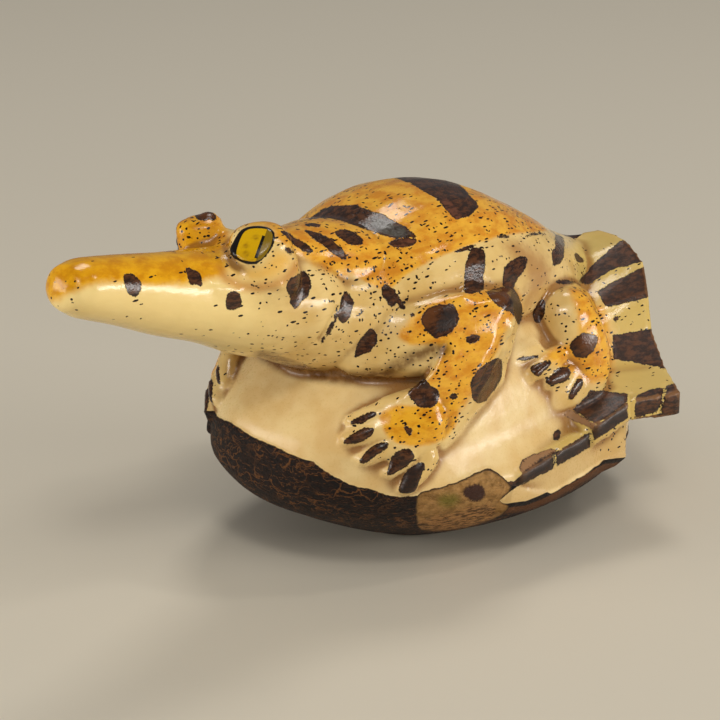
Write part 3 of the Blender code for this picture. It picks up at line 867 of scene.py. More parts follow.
def inside_depth(outline, spots):
    """Distance from each spot to the outline's nearest edge: positive inside, negative outside."""
    start = np.asarray(outline, float)
    edge = np.roll(start, -1, axis=0) - start
    gap = spots[:, None] - start
    along = np.clip((gap * edge).sum(-1) / np.maximum((edge**2).sum(-1), 1e-9), 0, 1)
    near = np.linalg.norm(gap - along[..., None] * edge, axis=-1).min(axis=1)
    end = start + edge
    straddles = (start[:, 1] > spots[:, None, 1]) != (end[:, 1] > spots[:, None, 1])
    rise = np.where(edge[:, 1] == 0, 1e-9, edge[:, 1])
    crossing = start[:, 0] + gap[..., 1] * edge[:, 0] / rise
    inside = (straddles & (spots[:, None, 0] < crossing)).sum(axis=1) % 2 == 1
    return np.where(inside, near, -near)


def line_distance(line, spots):
    """Distance from each spot to the nearest point of an open line."""
    start = np.asarray(line, float)[:-1]
    edge = np.diff(np.asarray(line, float), axis=0)
    gap = spots[:, None] - start
    along = np.clip((gap * edge).sum(-1) / (edge**2).sum(-1), 0, 1)
    return np.linalg.norm(gap - along[..., None] * edge, axis=-1).min(axis=1)


def rounded(outline):
    """Each corner is cut off at its share of the two sides: near + share * (far - near), and the reverse."""
    outline = np.asarray(outline, float)
    for _ in range(CORNER_ROUNDS):
        after = np.roll(outline, -1, axis=0)
        near = (1 - CORNER_SHARE) * outline + CORNER_SHARE * after
        far = CORNER_SHARE * outline + (1 - CORNER_SHARE) * after
        outline = np.stack([near, far], axis=1).reshape(-1, 2)
    return outline


def smoothstep(value, low, high):
    """0 below the low value and 1 above the high one, with 3t^2 - 2t^3 between them."""
    t = np.clip((value - low) / (high - low), 0, 1)
    return t * t * (3 - 2 * t)


class Skin:
    """The fused skin in millimetres, with the tree that rays are cast at and the fields drawn on it."""

    def __init__(self, mesh):
        self.mesh = mesh
        self.points, self.normals = read_points(mesh)
        self.tree = BVHTree.FromPolygons(self.points.tolist(), [list(p.vertices) for p in mesh.polygons])
        edges = np.empty(len(mesh.edges) * 2, np.int64)
        mesh.edges.foreach_get("vertices", edges)
        self.edges = edges.reshape(-1, 2)

    def averaged(self, values, passes):
        """Each pass replaces a point's value by the mean of its neighbours' values."""
        first, second = self.edges.T
        count = len(self.points)
        share = np.bincount(first, minlength=count) + np.bincount(second, minlength=count)
        values = np.array(values, float).reshape(count, -1)
        for _ in range(passes):
            total = np.zeros_like(values)
            for column in range(values.shape[1]):
                total[:, column] += np.bincount(first, values[second, column], count)
                total[:, column] += np.bincount(second, values[first, column], count)
            values = total / share[:, None]
        return values.squeeze()

    def scale(self, sight):
        """Millimetres per pixel of a view, at the middle of the carving."""
        return np.linalg.norm(self.points.mean(axis=0) - sight.eye) / sight.focal

    def boxed(self, spots, outline, margin, seen):
        """Which of the seen points have their pixels in the outline's box, widened by the margin."""
        low, high = outline.min(axis=0) - margin, outline.max(axis=0) + margin
        return np.flatnonzero(((spots > low) & (spots < high)).all(axis=1) & seen)

    def near_enough(self, sight, pixels, reach, chosen):
        """The reach less the distance from each chosen point to the nearest place that these pixels hit."""
        places = sight.hits(self.tree, np.asarray(pixels, float))
        if not len(places):
            return np.full(len(chosen), -1.0)
        depth = (places * sight.flip) @ sight.toward
        places = places[np.abs(depth - np.median(depth)) < 3.0 * reach + 2.0]
        gaps = np.linalg.norm(self.points[chosen][:, None] - places, axis=-1)
        return reach - gaps.min(axis=1)

    def patch(self, sight, outline, reach=1.1, soft=True, least_facing=0.05):
        """How deep in millimetres each point lies inside an outline drawn on this view; -1 well outside."""
        outline = rounded(outline) if soft else np.asarray(outline, float)
        scale = self.scale(sight)
        field = np.full(len(self.points), -1.0)
        spots = sight.pixels(self.points)
        facing = sight.facing(self.normals)
        chosen = self.boxed(spots, outline, 1.0 / scale, facing > least_facing - 0.3)
        depth = inside_depth(outline, spots[chosen]) * scale
        steps = np.linspace(0.04, 0.96, RAYS_ACROSS)
        inner = np.stack(np.meshgrid(steps, steps), -1).reshape(-1, 2)
        inner = outline.min(axis=0) + inner * np.ptp(outline, axis=0)
        inner = inner[inside_depth(outline, inner) > 0]
        inner = np.concatenate([inner, outline.mean(axis=0)[None]])
        spacing = 0.06 * np.ptp(outline, axis=0).max() * scale
        near = self.near_enough(sight, inner, reach + spacing, chosen)
        turned = 3.0 * (facing[chosen] - least_facing)
        field[chosen] = np.clip(np.minimum(np.minimum(depth, near), turned), -1.0, None)
        return field

    def groove(self, sight, line, half_width, reach=1.0):
        """1 on a line drawn on this view, falling smoothly to 0 at the half width, given in millimetres."""
        line = np.asarray(line, float)
        scale = self.scale(sight)
        spots = sight.pixels(self.points)
        chosen = self.boxed(spots, line, half_width / scale + 2, sight.facing(self.normals) > -0.1)
        steps = np.linspace(0, len(line) - 1, 6 * (len(line) - 1) + 1)
        samples = np.stack([np.interp(steps, np.arange(len(line)), line[:, k]) for k in (0, 1)], axis=-1)
        near = self.near_enough(sight, samples, reach, chosen)
        away = line_distance(line, spots[chosen]) * scale
        field = np.zeros(len(self.points))
        field[chosen] = (1 - smoothstep(away, 0, half_width)) * smoothstep(near, 0, 0.3)
        return field

    def press(self, height):
        """Moves every point along its normal by the given height."""
        self.points = self.points + self.normals * height[:, None]


def outline_shift(name, reach):
    """A small fixed shift by two sines of the name's letters, so that the far side isn't an exact mirror."""
    seed = sum(ord(letter) * (place + 1) for place, letter in enumerate(name))
    return reach * np.array([math.sin(seed), math.sin(seed * 1.7 + 1.0)])


def painted(skin, marks, sights, reach=1.1, shift=4.0, soft=True, least_facing=0.05, hidden=None):
    """The deepest of the marks' patches at each point. The far side's keep to where hidden is positive."""
    field = np.full(len(skin.points), -1.0)
    for sight in sights:
        for name, outline in marks.items():
            moved = np.asarray(outline, float)
            if sight.flip[0] > 0:
                patch = skin.patch(sight, moved, reach, soft, least_facing)
            else:
                patch = skin.patch(sight, moved + outline_shift(name, shift), reach, soft, least_facing)
                patch = patch if hidden is None else np.minimum(patch, hidden)
            field = np.maximum(field, patch)
    return field


def nut_clearance(points):
    """How far a point stands outside the nut's oval at its height: (ratio^(1/n) - 1) * lesser half size,
    with ratio = |left / half width|^n + |back / half length|^n from the oval's centre."""
    rows = smooth_rows(NUT_SECTIONS, ROWS_PER_SPAN)
    at = [np.interp(points[:, 2], rows[:, 0], rows[:, column]) for column in range(1, 6)]
    left, back, half_width, half_length, square = at
    ratio = np.abs((points[:, 0] - left) / half_width) ** square
    ratio += np.abs((points[:, 1] - back) / half_length) ** square
    size = ratio ** (1.0 / square)
    return (size - 1.0) * np.minimum(half_width, half_length)


def nut_share(points):
    """1 on the nut and 0 on the animal: near the nut's oval, or lower than every part of the animal."""
    near_oval = 1 - smoothstep(nut_clearance(points), 0.25, 0.7)
    low_down = 1 - smoothstep(points[:, 2], 7.4, 8.0)
    return np.maximum(near_oval, low_down)


def skin_depth(skin, photo):
    """How far a point lies below the dark skin's top edge, which is a height for each turn round the nut."""
    places = photo.hits(skin.tree, np.asarray(SKIN_EDGE, float))
    turn = np.degrees(np.arctan2(places[:, 1], places[:, 0]))
    far_turn, far_height = np.array(FAR_SKIN).T
    foot = np.array([station[1] for station in UNDER_TAIL])
    turn = np.concatenate([turn, np.degrees(np.arctan2(foot[:, 1], foot[:, 0])), far_turn])
    height = np.concatenate([places[:, 2], foot[:, 2] + 0.1, far_height])
    turn = np.mod(turn, 360.0)
    order = np.argsort(turn)
    here = np.mod(np.degrees(np.arctan2(skin.points[:, 1], skin.points[:, 0])), 360.0)
    return np.interp(here, turn[order], height[order], period=360.0) - skin.points[:, 2]


# Build the carving

def flatten(skin, field):
    """Moves the points inside an eye's patch onto their own plane, raised in the middle by the bulge."""
    inside = field > -0.15
    place = skin.points[inside]
    middle = place.mean(axis=0)
    across = np.linalg.svd(place - middle, full_matrices=False)[2][2]
    share = smoothstep(field[inside], -0.15, 0.15)
    off = (place - middle) @ across
    way = across if skin.normals[inside].mean(axis=0) @ across > 0 else -across
    rise = EYE_BULGE * smoothstep(field[inside], 0.0, 1.4)
    skin.points[inside] = place - (share * off)[:, None] * across + (share * rise)[:, None] * way


def soften(skin, field):
    """Moves the points inside a patch to the mean of their neighbours, taken many times over."""
    calm = skin.averaged(skin.points, FLESH_PASSES)
    share = smoothstep(field, -0.3, 0.5)
    skin.points = skin.points + share[:, None] * (calm - skin.points)


def carve(skin, photo, sights, eye_sights):
    """Presses the cut details into the skin. Returns the fields that the paint needs from them."""
    lift = np.zeros(len(skin.points))
    for flesh in (LID_FLESH, CHEEK_FLESH):
        soften(skin, skin.patch(photo, flesh, 2.2))
    eyes = np.full(len(skin.points), -1.0)
    for sight in eye_sights:
        eye = skin.patch(sight, EYE_RIM, reach=1.6)
        flatten(skin, eye)
        eyes = np.maximum(eyes, eye)
    lift -= EYE_RIM_CUT * (1 - smoothstep(np.abs(eyes), 0, EYE_RIM_HALF_WIDTH))
    for sight in sights:
        for line, rise, half_width in GROOVES:
            lift += rise * skin.groove(sight, line, half_width)
    claws = painted(skin, HAND_CLAWS, sights, reach=0.7, shift=0.0)
    claws = np.maximum(claws, painted(skin, FOOT_CLAWS, sights, reach=0.7, shift=0.0))
    lift += CLAW_RISE * smoothstep(claws, -0.06, 0.22)
    for notch in TAIL_NOTCHES:
        lift -= NOTCH_CUT * skin.groove(photo, notch, NOTCH_HALF_WIDTH)
    depth = skin_depth(skin, photo)
    on_nut = nut_share(skin.points)
    lift += LIP_RISE * smoothstep(depth, -0.08, 0.16) * on_nut
    skin.press(lift)
    return eyes, claws, depth, on_nut


def pupil_places(skin, sights):
    """Each point's distance across and along the slit pupil, in millimetres, or far away off the eyes."""
    top, foot = np.array(PUPIL_TOP), np.array(PUPIL_FOOT)
    way = unit(foot - top)
    across = np.full(len(skin.points), FAR_AWAY)
    along = np.full(len(skin.points), FAR_AWAY)
    for sight in sights:
        spots = sight.pixels(skin.points) - 0.5 * (top + foot)
        near = (np.linalg.norm(spots, axis=1) < EYE_PIXELS) & (skin.points[:, 2] > EYE_FLOOR)
        near &= skin.points[:, 0] * sight.flip[0] > EYE_SIDE
        across[near] = (spots[near, 0] * way[1] - spots[near, 1] * way[0]) * PIXEL_SPAN
        along[near] = (spots[near] @ way) * PIXEL_SPAN
    return across, along


def store(mesh, name, values):
    """One field on the mesh's points, which the finish reads by its name."""
    layer = mesh.attributes.new(name, "FLOAT", "POINT")
    layer.data.foreach_set("value", np.asarray(values, np.float32))


def finished_mesh(skin):
    """The points moved to the frame: lowered by the resting cut, kept above the floor, in metres."""
    placed = skin.points - (0, 0, RESTING_CUT)
    placed[:, 2] = np.maximum(placed[:, 2], 0.0)
    low, high = np.array(LOWEST), np.array(HIGHEST)
    metres = np.clip(placed * METRES, low, high)
    skin.mesh.vertices.foreach_set("co", metres.ravel())
    skin.mesh.polygons.foreach_set("use_smooth", np.ones(len(skin.mesh.polygons), bool))
    skin.mesh.update()
    return skin.mesh


def stain_field(skin, photo, sights, on_nut):
    """The share of orange stain: 1 well inside its outlines. The far side has it where the photograph's
    view doesn't reach and off the nut, and on all of its top."""
    amber = np.zeros(len(skin.points))
    for sight in sights:
        for outline, fade, reach in STAINED.values():
            field = skin.patch(sight, outline, reach, least_facing=-0.15)
            if sight.flip[0] < 0:
                field = np.minimum(field, 4.0 * (0.3 - photo.facing(skin.normals)))
                field = np.minimum(field, 2.0 * (0.4 - on_nut))
            amber = np.maximum(amber, smoothstep(field, -fade, fade))
    high = smoothstep(skin.points[:, 2], *TOP_STAIN_UP) * smoothstep(skin.points[:, 1], *TOP_STAIN_BACK)
    high *= smoothstep(0.42 - photo.facing(skin.normals), 0.0, 0.3)
    return np.maximum(amber, high)


def speckled(skin, amber, on_nut):
    """The share of specks: full on the stain, less on the ivory, little on the snout and none on the nut."""
    snout = smoothstep(-skin.points[:, 1], *SNOUT_BARE)
    return (0.50 + 0.50 * amber) * (1 - on_nut) * (1 - 0.85 * snout)


def all_marks(skin, photo, sights, claws):
    """The deepest of all the dark marks' patches, the claws among them, at each point."""
    hidden = 3.0 * (0.02 - photo.facing(skin.normals))
    above = plain_sight((0, 0, 1), (1, 0, 0))
    beside = plain_sight((-1, 0, 0), (0, -1, 0))
    groups = [
        claws,
        painted(skin, HEAD_MARKS, sights, reach=1.3, shift=3.0, hidden=hidden),
        painted(skin, BODY_MARKS, sights, reach=2.2, shift=6.0, least_facing=-0.1, hidden=hidden),
        painted(skin, LIMB_MARKS, sights, reach=1.5, least_facing=-0.25),
        painted(skin, TAIL_MARKS, [photo], reach=1.2, soft=False, least_facing=-0.4),
        painted(skin, LONE_MARKS, [photo], least_facing=-0.2),
        painted(skin, upright(ABOVE_MARKS), [above], reach=1.5),
        painted(skin, upright(RIGHT_MARKS), [beside], reach=1.5),
    ]
    return np.max(groups, axis=0)


def golden_share(skin, photo):
    """The share of gold in the stain: 1 on the snout and about a half on the near hand."""
    snout = smoothstep(-skin.points[:, 1], *SNOUT_GOLD)
    hand = skin.patch(photo, STAINED["hand"][0], 1.4)
    return np.maximum(snout, 0.55 * smoothstep(hand, -0.5, 0.8))


def standing_out(skin, passes):
    """How far each point stands out of the mean of its neighbourhood, along its normal."""
    return ((skin.points - skin.averaged(skin.points, passes)) * skin.normals).sum(axis=1)


def strongest_groove(skin, sights, lines, half_width, reach=1.0):
    """The highest of the grooves' shares at each point, over all the views and lines."""
    grooves = [skin.groove(sight, line, half_width, reach) for sight in sights for line in lines]
    return np.max(grooves, axis=0)


def build_carving():
    """The carved mesh with its paint's fields on its points, as one object."""
    photo = photo_sight()
    both = [photo, photo_sight(side=-1)]
    eye_sights = [photo, far_eye_sight()]
    skin = Skin(fused_skin())
    eyes, claws, depth, on_nut = carve(skin, photo, both, eye_sights)
    amber = stain_field(skin, photo, both, on_nut)
    across, along = pupil_places(skin, eye_sights)
    fields = {
        "marks": all_marks(skin, photo, both, claws),
        "amber": amber,
        "golden": golden_share(skin, photo),
        "greenish": smoothstep(skin.patch(photo, TAIL_TINT, 2.2), -0.5, 0.5),
        "greyed_sheen": skin.patch(photo, BAND_GREY_SHEEN, 1.5),
        "reddened": painted(skin, RED_STRIPS, [photo], reach=1.5),
        "thinned": painted(skin, THIN_PAINT, both, reach=1.4),
        "thick_paint_and_shade": painted(skin, DARK_PAINT_AND_SHADE, [photo], reach=1.4, soft=False, least_facing=-0.4),
        "flank_shade_and_soil": skin.patch(photo, FLANK_SHADE_AND_SOIL, 3.0),
        "lid_glow": skin.patch(photo, LID_GLOW, 2.0),
        "iris_dots": strongest_groove(skin, eye_sights, IRIS_DOTS, 0.3),
        "chipped": painted(skin, CHIPPED, [photo], reach=1.2, soft=False, least_facing=-0.4),
        "chest_shadow": strongest_groove(skin, both, [CHEST_SHADOW_LINE], 1.1, reach=1.8),
        "specks": speckled(skin, amber, on_nut),
        "crowded": smoothstep(painted(skin, {"neck": CROWDED}, both, reach=2.6), -0.8, 0.8),
        "skin_depth": np.clip(depth, -3.0, 6.0),
        "on_nut": on_nut,
        "hollow_shade": -standing_out(skin, HOLLOW_PASSES),
        "crest": standing_out(skin, CREST_PASSES),
        "eye_rim": eyes,
        "eye_gold": painted(skin, {"eye": EYE_GOLD}, eye_sights, reach=1.6, shift=0.0),
        "pupil_across": across,
        "pupil_along": along,
        "under_cut": skin.patch(photo, UNDER_CUT, 2.5, soft=False, least_facing=-0.3),
        "lid_crease_shade": strongest_groove(skin, both, [LID_LINE], 0.8),
        "scar": skin.patch(photo, SCAR, reach=2.2, least_facing=-0.3),
        "scar_dark": skin.patch(photo, SCAR_DARK, reach=1.2),
        "scar_green": skin.patch(photo, SCAR_GREEN, reach=1.2),
    }
    mesh = finished_mesh(skin)
    for name, values in fields.items():
        store(mesh, name, values)
    mesh.name = "painted_crocodile"
    obj = bpy.data.objects.new("painted_crocodile", mesh)
    bpy.context.scene.collection.objects.link(obj)
    return obj


# Finishes

def paint(name):
    """A named colour as seen, from 0 to 255, turned to the linear value that a shader takes."""
    seen = np.array(COLOURS[name]) / 255.0
    linear = np.where(seen <= 0.04045, seen / 12.92, ((seen + 0.055) / 1.055) ** 2.4)
    return (*linear.tolist(), 1.0)


class Recipe:
    """Nodes of one finish, so that each step of it is one call."""

    def __init__(self, name):
        self.material = bpy.data.materials.new(name)
        self.material.use_nodes = True
        self.tree = self.material.node_tree
        self.surface = self.tree.nodes["Principled BSDF"]
        coordinates = self.tree.nodes.new("ShaderNodeTexCoord")
        self.place = self.vector("SCALE", coordinates.outputs["Object"], scale=1000.0)

    def plug(self, socket, value):
        if isinstance(value, bpy.types.NodeSocket):
            self.tree.links.new(value, socket)
        elif value is not None:
            socket.default_value = value

    def vector(self, operation, first, second=None, scale=None):
        node = self.tree.nodes.new("ShaderNodeVectorMath")
        node.operation = operation
        self.plug(node.inputs[0], first)
        self.plug(node.inputs[1], second)
        if scale is not None:
            self.plug(node.inputs["Scale"], scale)
        return node.outputs[0]

    def stored(self, name):
        """A field that the carving's points carry."""
        node = self.tree.nodes.new("ShaderNodeAttribute")
        node.attribute_name = name
        return node.outputs["Fac"]

    def math(self, operation, first, second=None, third=None):
        node = self.tree.nodes.new("ShaderNodeMath")
        node.operation = operation
        self.plug(node.inputs[0], first)
        self.plug(node.inputs[1], second)
        self.plug(node.inputs[2], third)
        return node.outputs[0]

    def times(self, first, second):
        return self.math("MULTIPLY", first, second)

    def ragged(self, field, noise, amount):
        """A field moved by a noise: field + (noise - 0.5) * amount."""
        return self.math("MULTIPLY_ADD", self.math("SUBTRACT", noise, 0.5), amount, field)

    def step(self, value, low, high, start=0.0, end=1.0):
        """A smooth rise from start to end while the value goes from low to high."""
        node = self.tree.nodes.new("ShaderNodeMapRange")
        node.interpolation_type = "SMOOTHSTEP"
        self.plug(node.inputs["Value"], value)
        self.plug(node.inputs["From Min"], low)
        self.plug(node.inputs["From Max"], high)
        self.plug(node.inputs["To Min"], start)
        self.plug(node.inputs["To Max"], end)
        return node.outputs["Result"]

    def noise_node(self, scale, detail, rough=0.5, stretch=None):
        """A noise per millimetre, drawn on places that are stretched first."""
        node = self.tree.nodes.new("ShaderNodeTexNoise")
        place = self.vector("MULTIPLY", self.place, stretch) if stretch else self.place
        self.plug(node.inputs["Vector"], place)
        self.plug(node.inputs["Scale"], scale)
        self.plug(node.inputs["Detail"], detail)
        self.plug(node.inputs["Roughness"], rough)
        return node

    def noise(self, scale, detail=3.0, rough=0.55, stretch=None):
        return self.noise_node(scale, detail, rough, stretch).outputs["Fac"]

    def cells(self, scale, stretch, feature="F1", place=None):
        """Rounded cells per millimetre, drawn on places that are stretched first."""
        node = self.tree.nodes.new("ShaderNodeTexVoronoi")
        node.feature = feature
        self.plug(node.inputs["Vector"], self.vector("MULTIPLY", place or self.place, stretch))
        self.plug(node.inputs["Scale"], scale)
        return node

    def mix(self, share, first, second):
        """The first colour where the share is 0, and the second where it is 1."""
        node = self.tree.nodes.new("ShaderNodeMix")
        node.data_type = "RGBA"
        self.plug(node.inputs["Factor"], share)
        self.plug(node.inputs["A"], first)
        self.plug(node.inputs["B"], second)
        return node.outputs["Result"]

    def coat(self, under, name, share):
        """A named colour laid over another one, as strongly as the share says."""
        return self.mix(share, under, paint(name))


class Grain:
    """The noises that several layers of the finish share, from broad clouds to fine grit."""

    def __init__(self, look):
        self.cloud = look.noise(0.35, 2.0)
        self.swell = look.noise(0.9, 1.0)
        self.drift = look.noise(1.3, 3.0)
        self.streak = look.noise(2.2, 4.0, 0.65, stretch=(1.0, 0.45, 1.6))
        self.fine = look.noise(5.0, 3.0)
        self.grit = look.noise(14.0, 2.0)


def bare_ivory(look, grain):
    """Ivory with long faint growth lines, tinted on the nut, the tail, the snout and the lid, darker brown
    on the flank as a tint with painted shade, and darker on the flat cut below the tail as painted shade.
    """
    lines = look.noise(1.1, 3.0, stretch=(0.4, 0.4, 2.0))
    ivory = look.mix(look.step(grain.cloud, 0.3, 0.75), paint("ivory"), paint("ivory_shade"))
    ivory = look.coat(ivory, "growth_line", look.step(lines, 0.5, 0.8, 0.0, 0.3))
    nut = look.mix(look.step(grain.cloud, 0.3, 0.7), paint("nut"), paint("nut_shade"))
    ivory = look.mix(look.times(look.stored("on_nut"), 0.8), ivory, nut)
    ivory = look.coat(ivory, "tail_ivory", look.times(look.stored("greenish"), 0.8))
    ivory = look.coat(ivory, "golden_ivory", look.times(look.stored("golden"), 0.8))
    # Darker brown on the flank and hip: a brownish tint with painted shade between the arm and the leg
    soil_and_shade = look.step(look.ragged(look.stored("flank_shade_and_soil"), grain.drift, 1.0), -0.6, 1.0)
    ivory = look.coat(ivory, "soil_and_shade", look.times(soil_and_shade, 0.7))
    ivory = look.coat(ivory, "lid_glow", look.step(look.stored("lid_glow"), -0.7, 0.6, 0.0, 0.65))
    # Painted shade: the flat cut below the tail is darker, as shade where it faces down under the tail
    return look.coat(ivory, "under_tail_shade", look.step(look.stored("under_cut"), -0.2, 0.2, 0.0, 0.55))


def orange_stain(look, grain, under):
    """Orange stain, deeper in patches and golden on the snout and hand, then painted shade: brown in
    hollows, dark brown in the crease below the chest and orange-brown below the lid.
    """
    patchy = look.step(look.noise(0.9, 4.0, 0.6, stretch=(1.0, 0.6, 1.4)), 0.36, 0.66)
    orange = look.mix(patchy, paint("orange"), paint("deep_orange"))
    gold = look.mix(patchy, paint("gold"), paint("deep_gold"))
    orange = look.mix(look.stored("golden"), orange, gold)
    edge = look.ragged(look.stored("amber"), grain.drift, 0.5)
    base = look.mix(look.step(edge, 0.1, 0.95), under, orange)
    # Painted shade: brown in the hollows, where the skin sits below the mean of its neighbourhood
    base = look.coat(base, "hollow_shade", look.step(look.stored("hollow_shade"), 0.02, 0.20, 0.0, 0.8))
    # Painted shadow: dark brown along the crease below the chest
    chest_shadow = look.times(look.stored("chest_shadow"), look.step(grain.drift, 0.25, 0.6, 0.5, 1.0))
    base = look.coat(base, "chest_shadow", look.times(chest_shadow, 0.9))
    # Painted shade: orange-brown along the crease below the lower lid
    return look.coat(base, "lid_crease_shade", look.times(look.stored("lid_crease_shade"), 0.7))


def black_specks(look, grain, under):
    """Small black dabs, one in each chosen cell, thick on the stain and thin below it."""
    shares = {
        "specks": look.times(look.stored("specks"), look.step(grain.cloud, 0.3, 0.65, 0.6, 1.2)),
        "crowded": look.stored("crowded"),
    }
    base = under
    for scale, stretch, most, where in SPECK_LAYERS:
        dabs = look.cells(scale, stretch)
        chance = look.tree.nodes.new("ShaderNodeSeparateColor")
        look.plug(chance.inputs[0], dabs.outputs["Color"])
        there = look.math("LESS_THAN", chance.outputs[0], look.times(shares[where], most))
        size = look.math("MULTIPLY_ADD", chance.outputs[1], SPECK_SPREAD, SPECK_LEAST)
        near = look.math("SUBTRACT", size, dabs.outputs["Distance"])
        dab = look.step(look.ragged(near, grain.grit, 0.2), 0.0, 0.05)
        base = look.coat(base, "speck", look.times(dab, there))
    return base


def dark_marks(look, grain, under):
    """Dark brown marks with ragged rims, streaked, greyed with a painted sheen, reddened, thinned, lighter
    on the tail's crests as wear with a painted highlight, and chipped in places, and nearly black where the
    paint is thick and where shade is painted.
    Returns the colour, the share of marks and the share of nearly black paint and painted shade."""
    edge = look.ragged(look.stored("marks"), grain.drift, 0.34)
    edge = look.ragged(edge, grain.fine, 0.24)
    edge = look.ragged(edge, grain.grit, 0.10)
    inside = look.step(edge, -0.02, 0.05)
    brown = look.mix(look.step(grain.streak, 0.40, 0.64), paint("brown"), paint("brown_streak"))
    # Grey on the back band's mark: grey paint and a painted sheen
    grey_paint_and_sheen = look.step(look.math("MULTIPLY_ADD", grain.drift, 0.8, look.stored("greyed_sheen")), 0.35, 0.6)
    brown = look.coat(brown, "grey_paint_and_sheen", look.times(grey_paint_and_sheen, look.step(grain.streak, 0.36, 0.56, 0.25, 0.9)))
    red = look.step(look.stored("reddened"), -0.1, 0.1, 0.0, 0.8)
    brown = look.coat(brown, "red", look.times(red, look.step(grain.streak, 0.36, 0.60, 0.2, 1.0)))
    thin = look.math("MULTIPLY_ADD", grain.drift, 0.5, look.stored("thinned"))
    brown = look.coat(brown, "thin", look.step(thin, 0.0, 0.6, 0.0, 0.7))
    brown = look.coat(brown, "mark_rim", look.step(edge, 0.04, 0.18, 0.8, 0.0))
    # Lighter brown on the crests of the tail's marks: worn paint and a painted highlight on the bevels
    wear_and_highlight = look.step(look.ragged(look.stored("crest"), grain.fine, 0.06), 0.08, 0.13, 0.0, 0.75)
    brown = look.coat(brown, "wear_and_highlight", look.times(wear_and_highlight, look.stored("greenish")))
    chips = look.ragged(look.stored("chipped"), grain.fine, 0.8)
    brown = look.coat(brown, "chipped", look.step(chips, -0.05, 0.2, 0.0, 0.8))
    # Nearly black: thick paint on the arm's blot and the thumb, and painted shade on the elbow's far side
    # and the tail's side faces
    thick = look.step(look.ragged(look.stored("thick_paint_and_shade"), grain.fine, 0.7), -0.1, 0.3, 0.0, 0.75)
    brown = look.coat(brown, "thick", thick)
    return look.mix(inside, under, brown), inside, thick


def painted_eye(look, under):
    """The eye: black rim, golden disc with the olive sliver behind the pupil, dots and slit pupil."""
    base = look.coat(under, "eye_rim", look.step(look.stored("eye_rim"), -0.02, 0.03))
    across = look.stored("pupil_across")
    iris = look.mix(look.step(across, 0.05, 0.12), paint("iris"), paint("olive"))
    iris = look.coat(iris, "iris_dot", look.times(look.stored("iris_dots"), 0.8))
    base = look.mix(look.step(look.stored("eye_gold"), -0.02, 0.03), base, iris)
    narrow = look.math("SUBTRACT", PUPIL_HALF_WIDTH * PIXEL_SPAN, look.math("ABSOLUTE", across))
    long = look.math("SUBTRACT", PUPIL_HALF_LENGTH, look.math("ABSOLUTE", look.stored("pupil_along")))
    return look.coat(base, "pupil", look.step(look.math("MINIMUM", narrow, long), -0.02, 0.02))


def nut_skin(look, grain, cut, depth, under):
    """The nut's own skin below: nearly black, with branching tan fibres and a dark lip.
    Returns the colour, the share of skin and its fibres."""
    bent = look.noise_node(0.8, 3.0)
    spread = look.vector("SCALE", bent.outputs["Color"], scale=2.6)
    bent_place = look.vector("ADD", look.place, spread)
    fibres = look.cells(0.62, (0.6, 0.45, 2.2), "DISTANCE_TO_EDGE", bent_place)
    vein = look.step(fibres.outputs["Distance"], 0.0, 0.07, 0.6, 0.0)
    threads = look.noise(2.6, 5.0, 0.7, stretch=(0.6, 0.6, 3.0))
    tan_share = look.times(vein, look.step(grain.cloud, 0.40, 0.56, 0.15, 1.0))
    tan_share = look.math("MAXIMUM", tan_share, look.step(threads, 0.57, 0.70, 0.0, 0.8))
    skin = look.mix(look.step(grain.streak, 0.4, 0.65), paint("skin"), paint("skin_streak"))
    skin = look.coat(skin, "fibre", tan_share)
    sliver = look.times(look.step(cut, -0.98, -0.7), look.step(cut, -0.42, -0.30, 1.0, 0.0))
    skin = look.coat(skin, "sliver", look.times(sliver, 0.75))
    skin = look.coat(skin, "cut_rim", look.step(cut, -0.40, -0.28, 0.0, 0.9))
    below = look.times(look.step(depth, -0.02, 0.05), look.step(look.stored("on_nut"), 0.3, 0.6))
    below = look.times(below, look.step(cut, -0.03, 0.03, 1.0, 0.0))
    return look.mix(below, under, skin), below, vein


def stalk_scar(look, grain, cut, depth, under):
    """The beige scar, barky towards its foot, with a green stain, a dark stain and a dark rim.
    Returns the colour and the share of scar."""
    scar = look.ragged(look.stored("scar"), grain.drift, 0.4)
    bark = look.mix(look.step(grain.drift, 0.35, 0.65), paint("scar"), paint("scar_shade"))
    bark_lines = look.noise(2.2, 5.0, 0.7, stretch=(0.6, 0.6, 2.0))
    rind = look.mix(look.step(bark_lines, 0.42, 0.58), paint("rind_dark"), paint("rind_pale"))
    bark = look.mix(look.step(look.math("ADD", depth, grain.drift), 3.0, 3.9, 0.15, 0.85), bark, rind)
    green = look.step(look.stored("scar_green"), -0.5, 0.5)
    bark = look.coat(bark, "scar_green", look.times(green, 0.8))
    dark = look.ragged(look.stored("scar_dark"), grain.fine, 0.5)
    bark = look.coat(bark, "scar_dark", look.step(dark, -0.1, 0.15))
    bark = look.coat(bark, "scar_rim", look.step(scar, 0.05, 0.25, 0.9, 0.0))
    scarred = look.times(look.step(scar, 0.0, 0.05), look.step(cut, -0.03, 0.03, 1.0, 0.0))
    return look.mix(scarred, under, bark), scarred


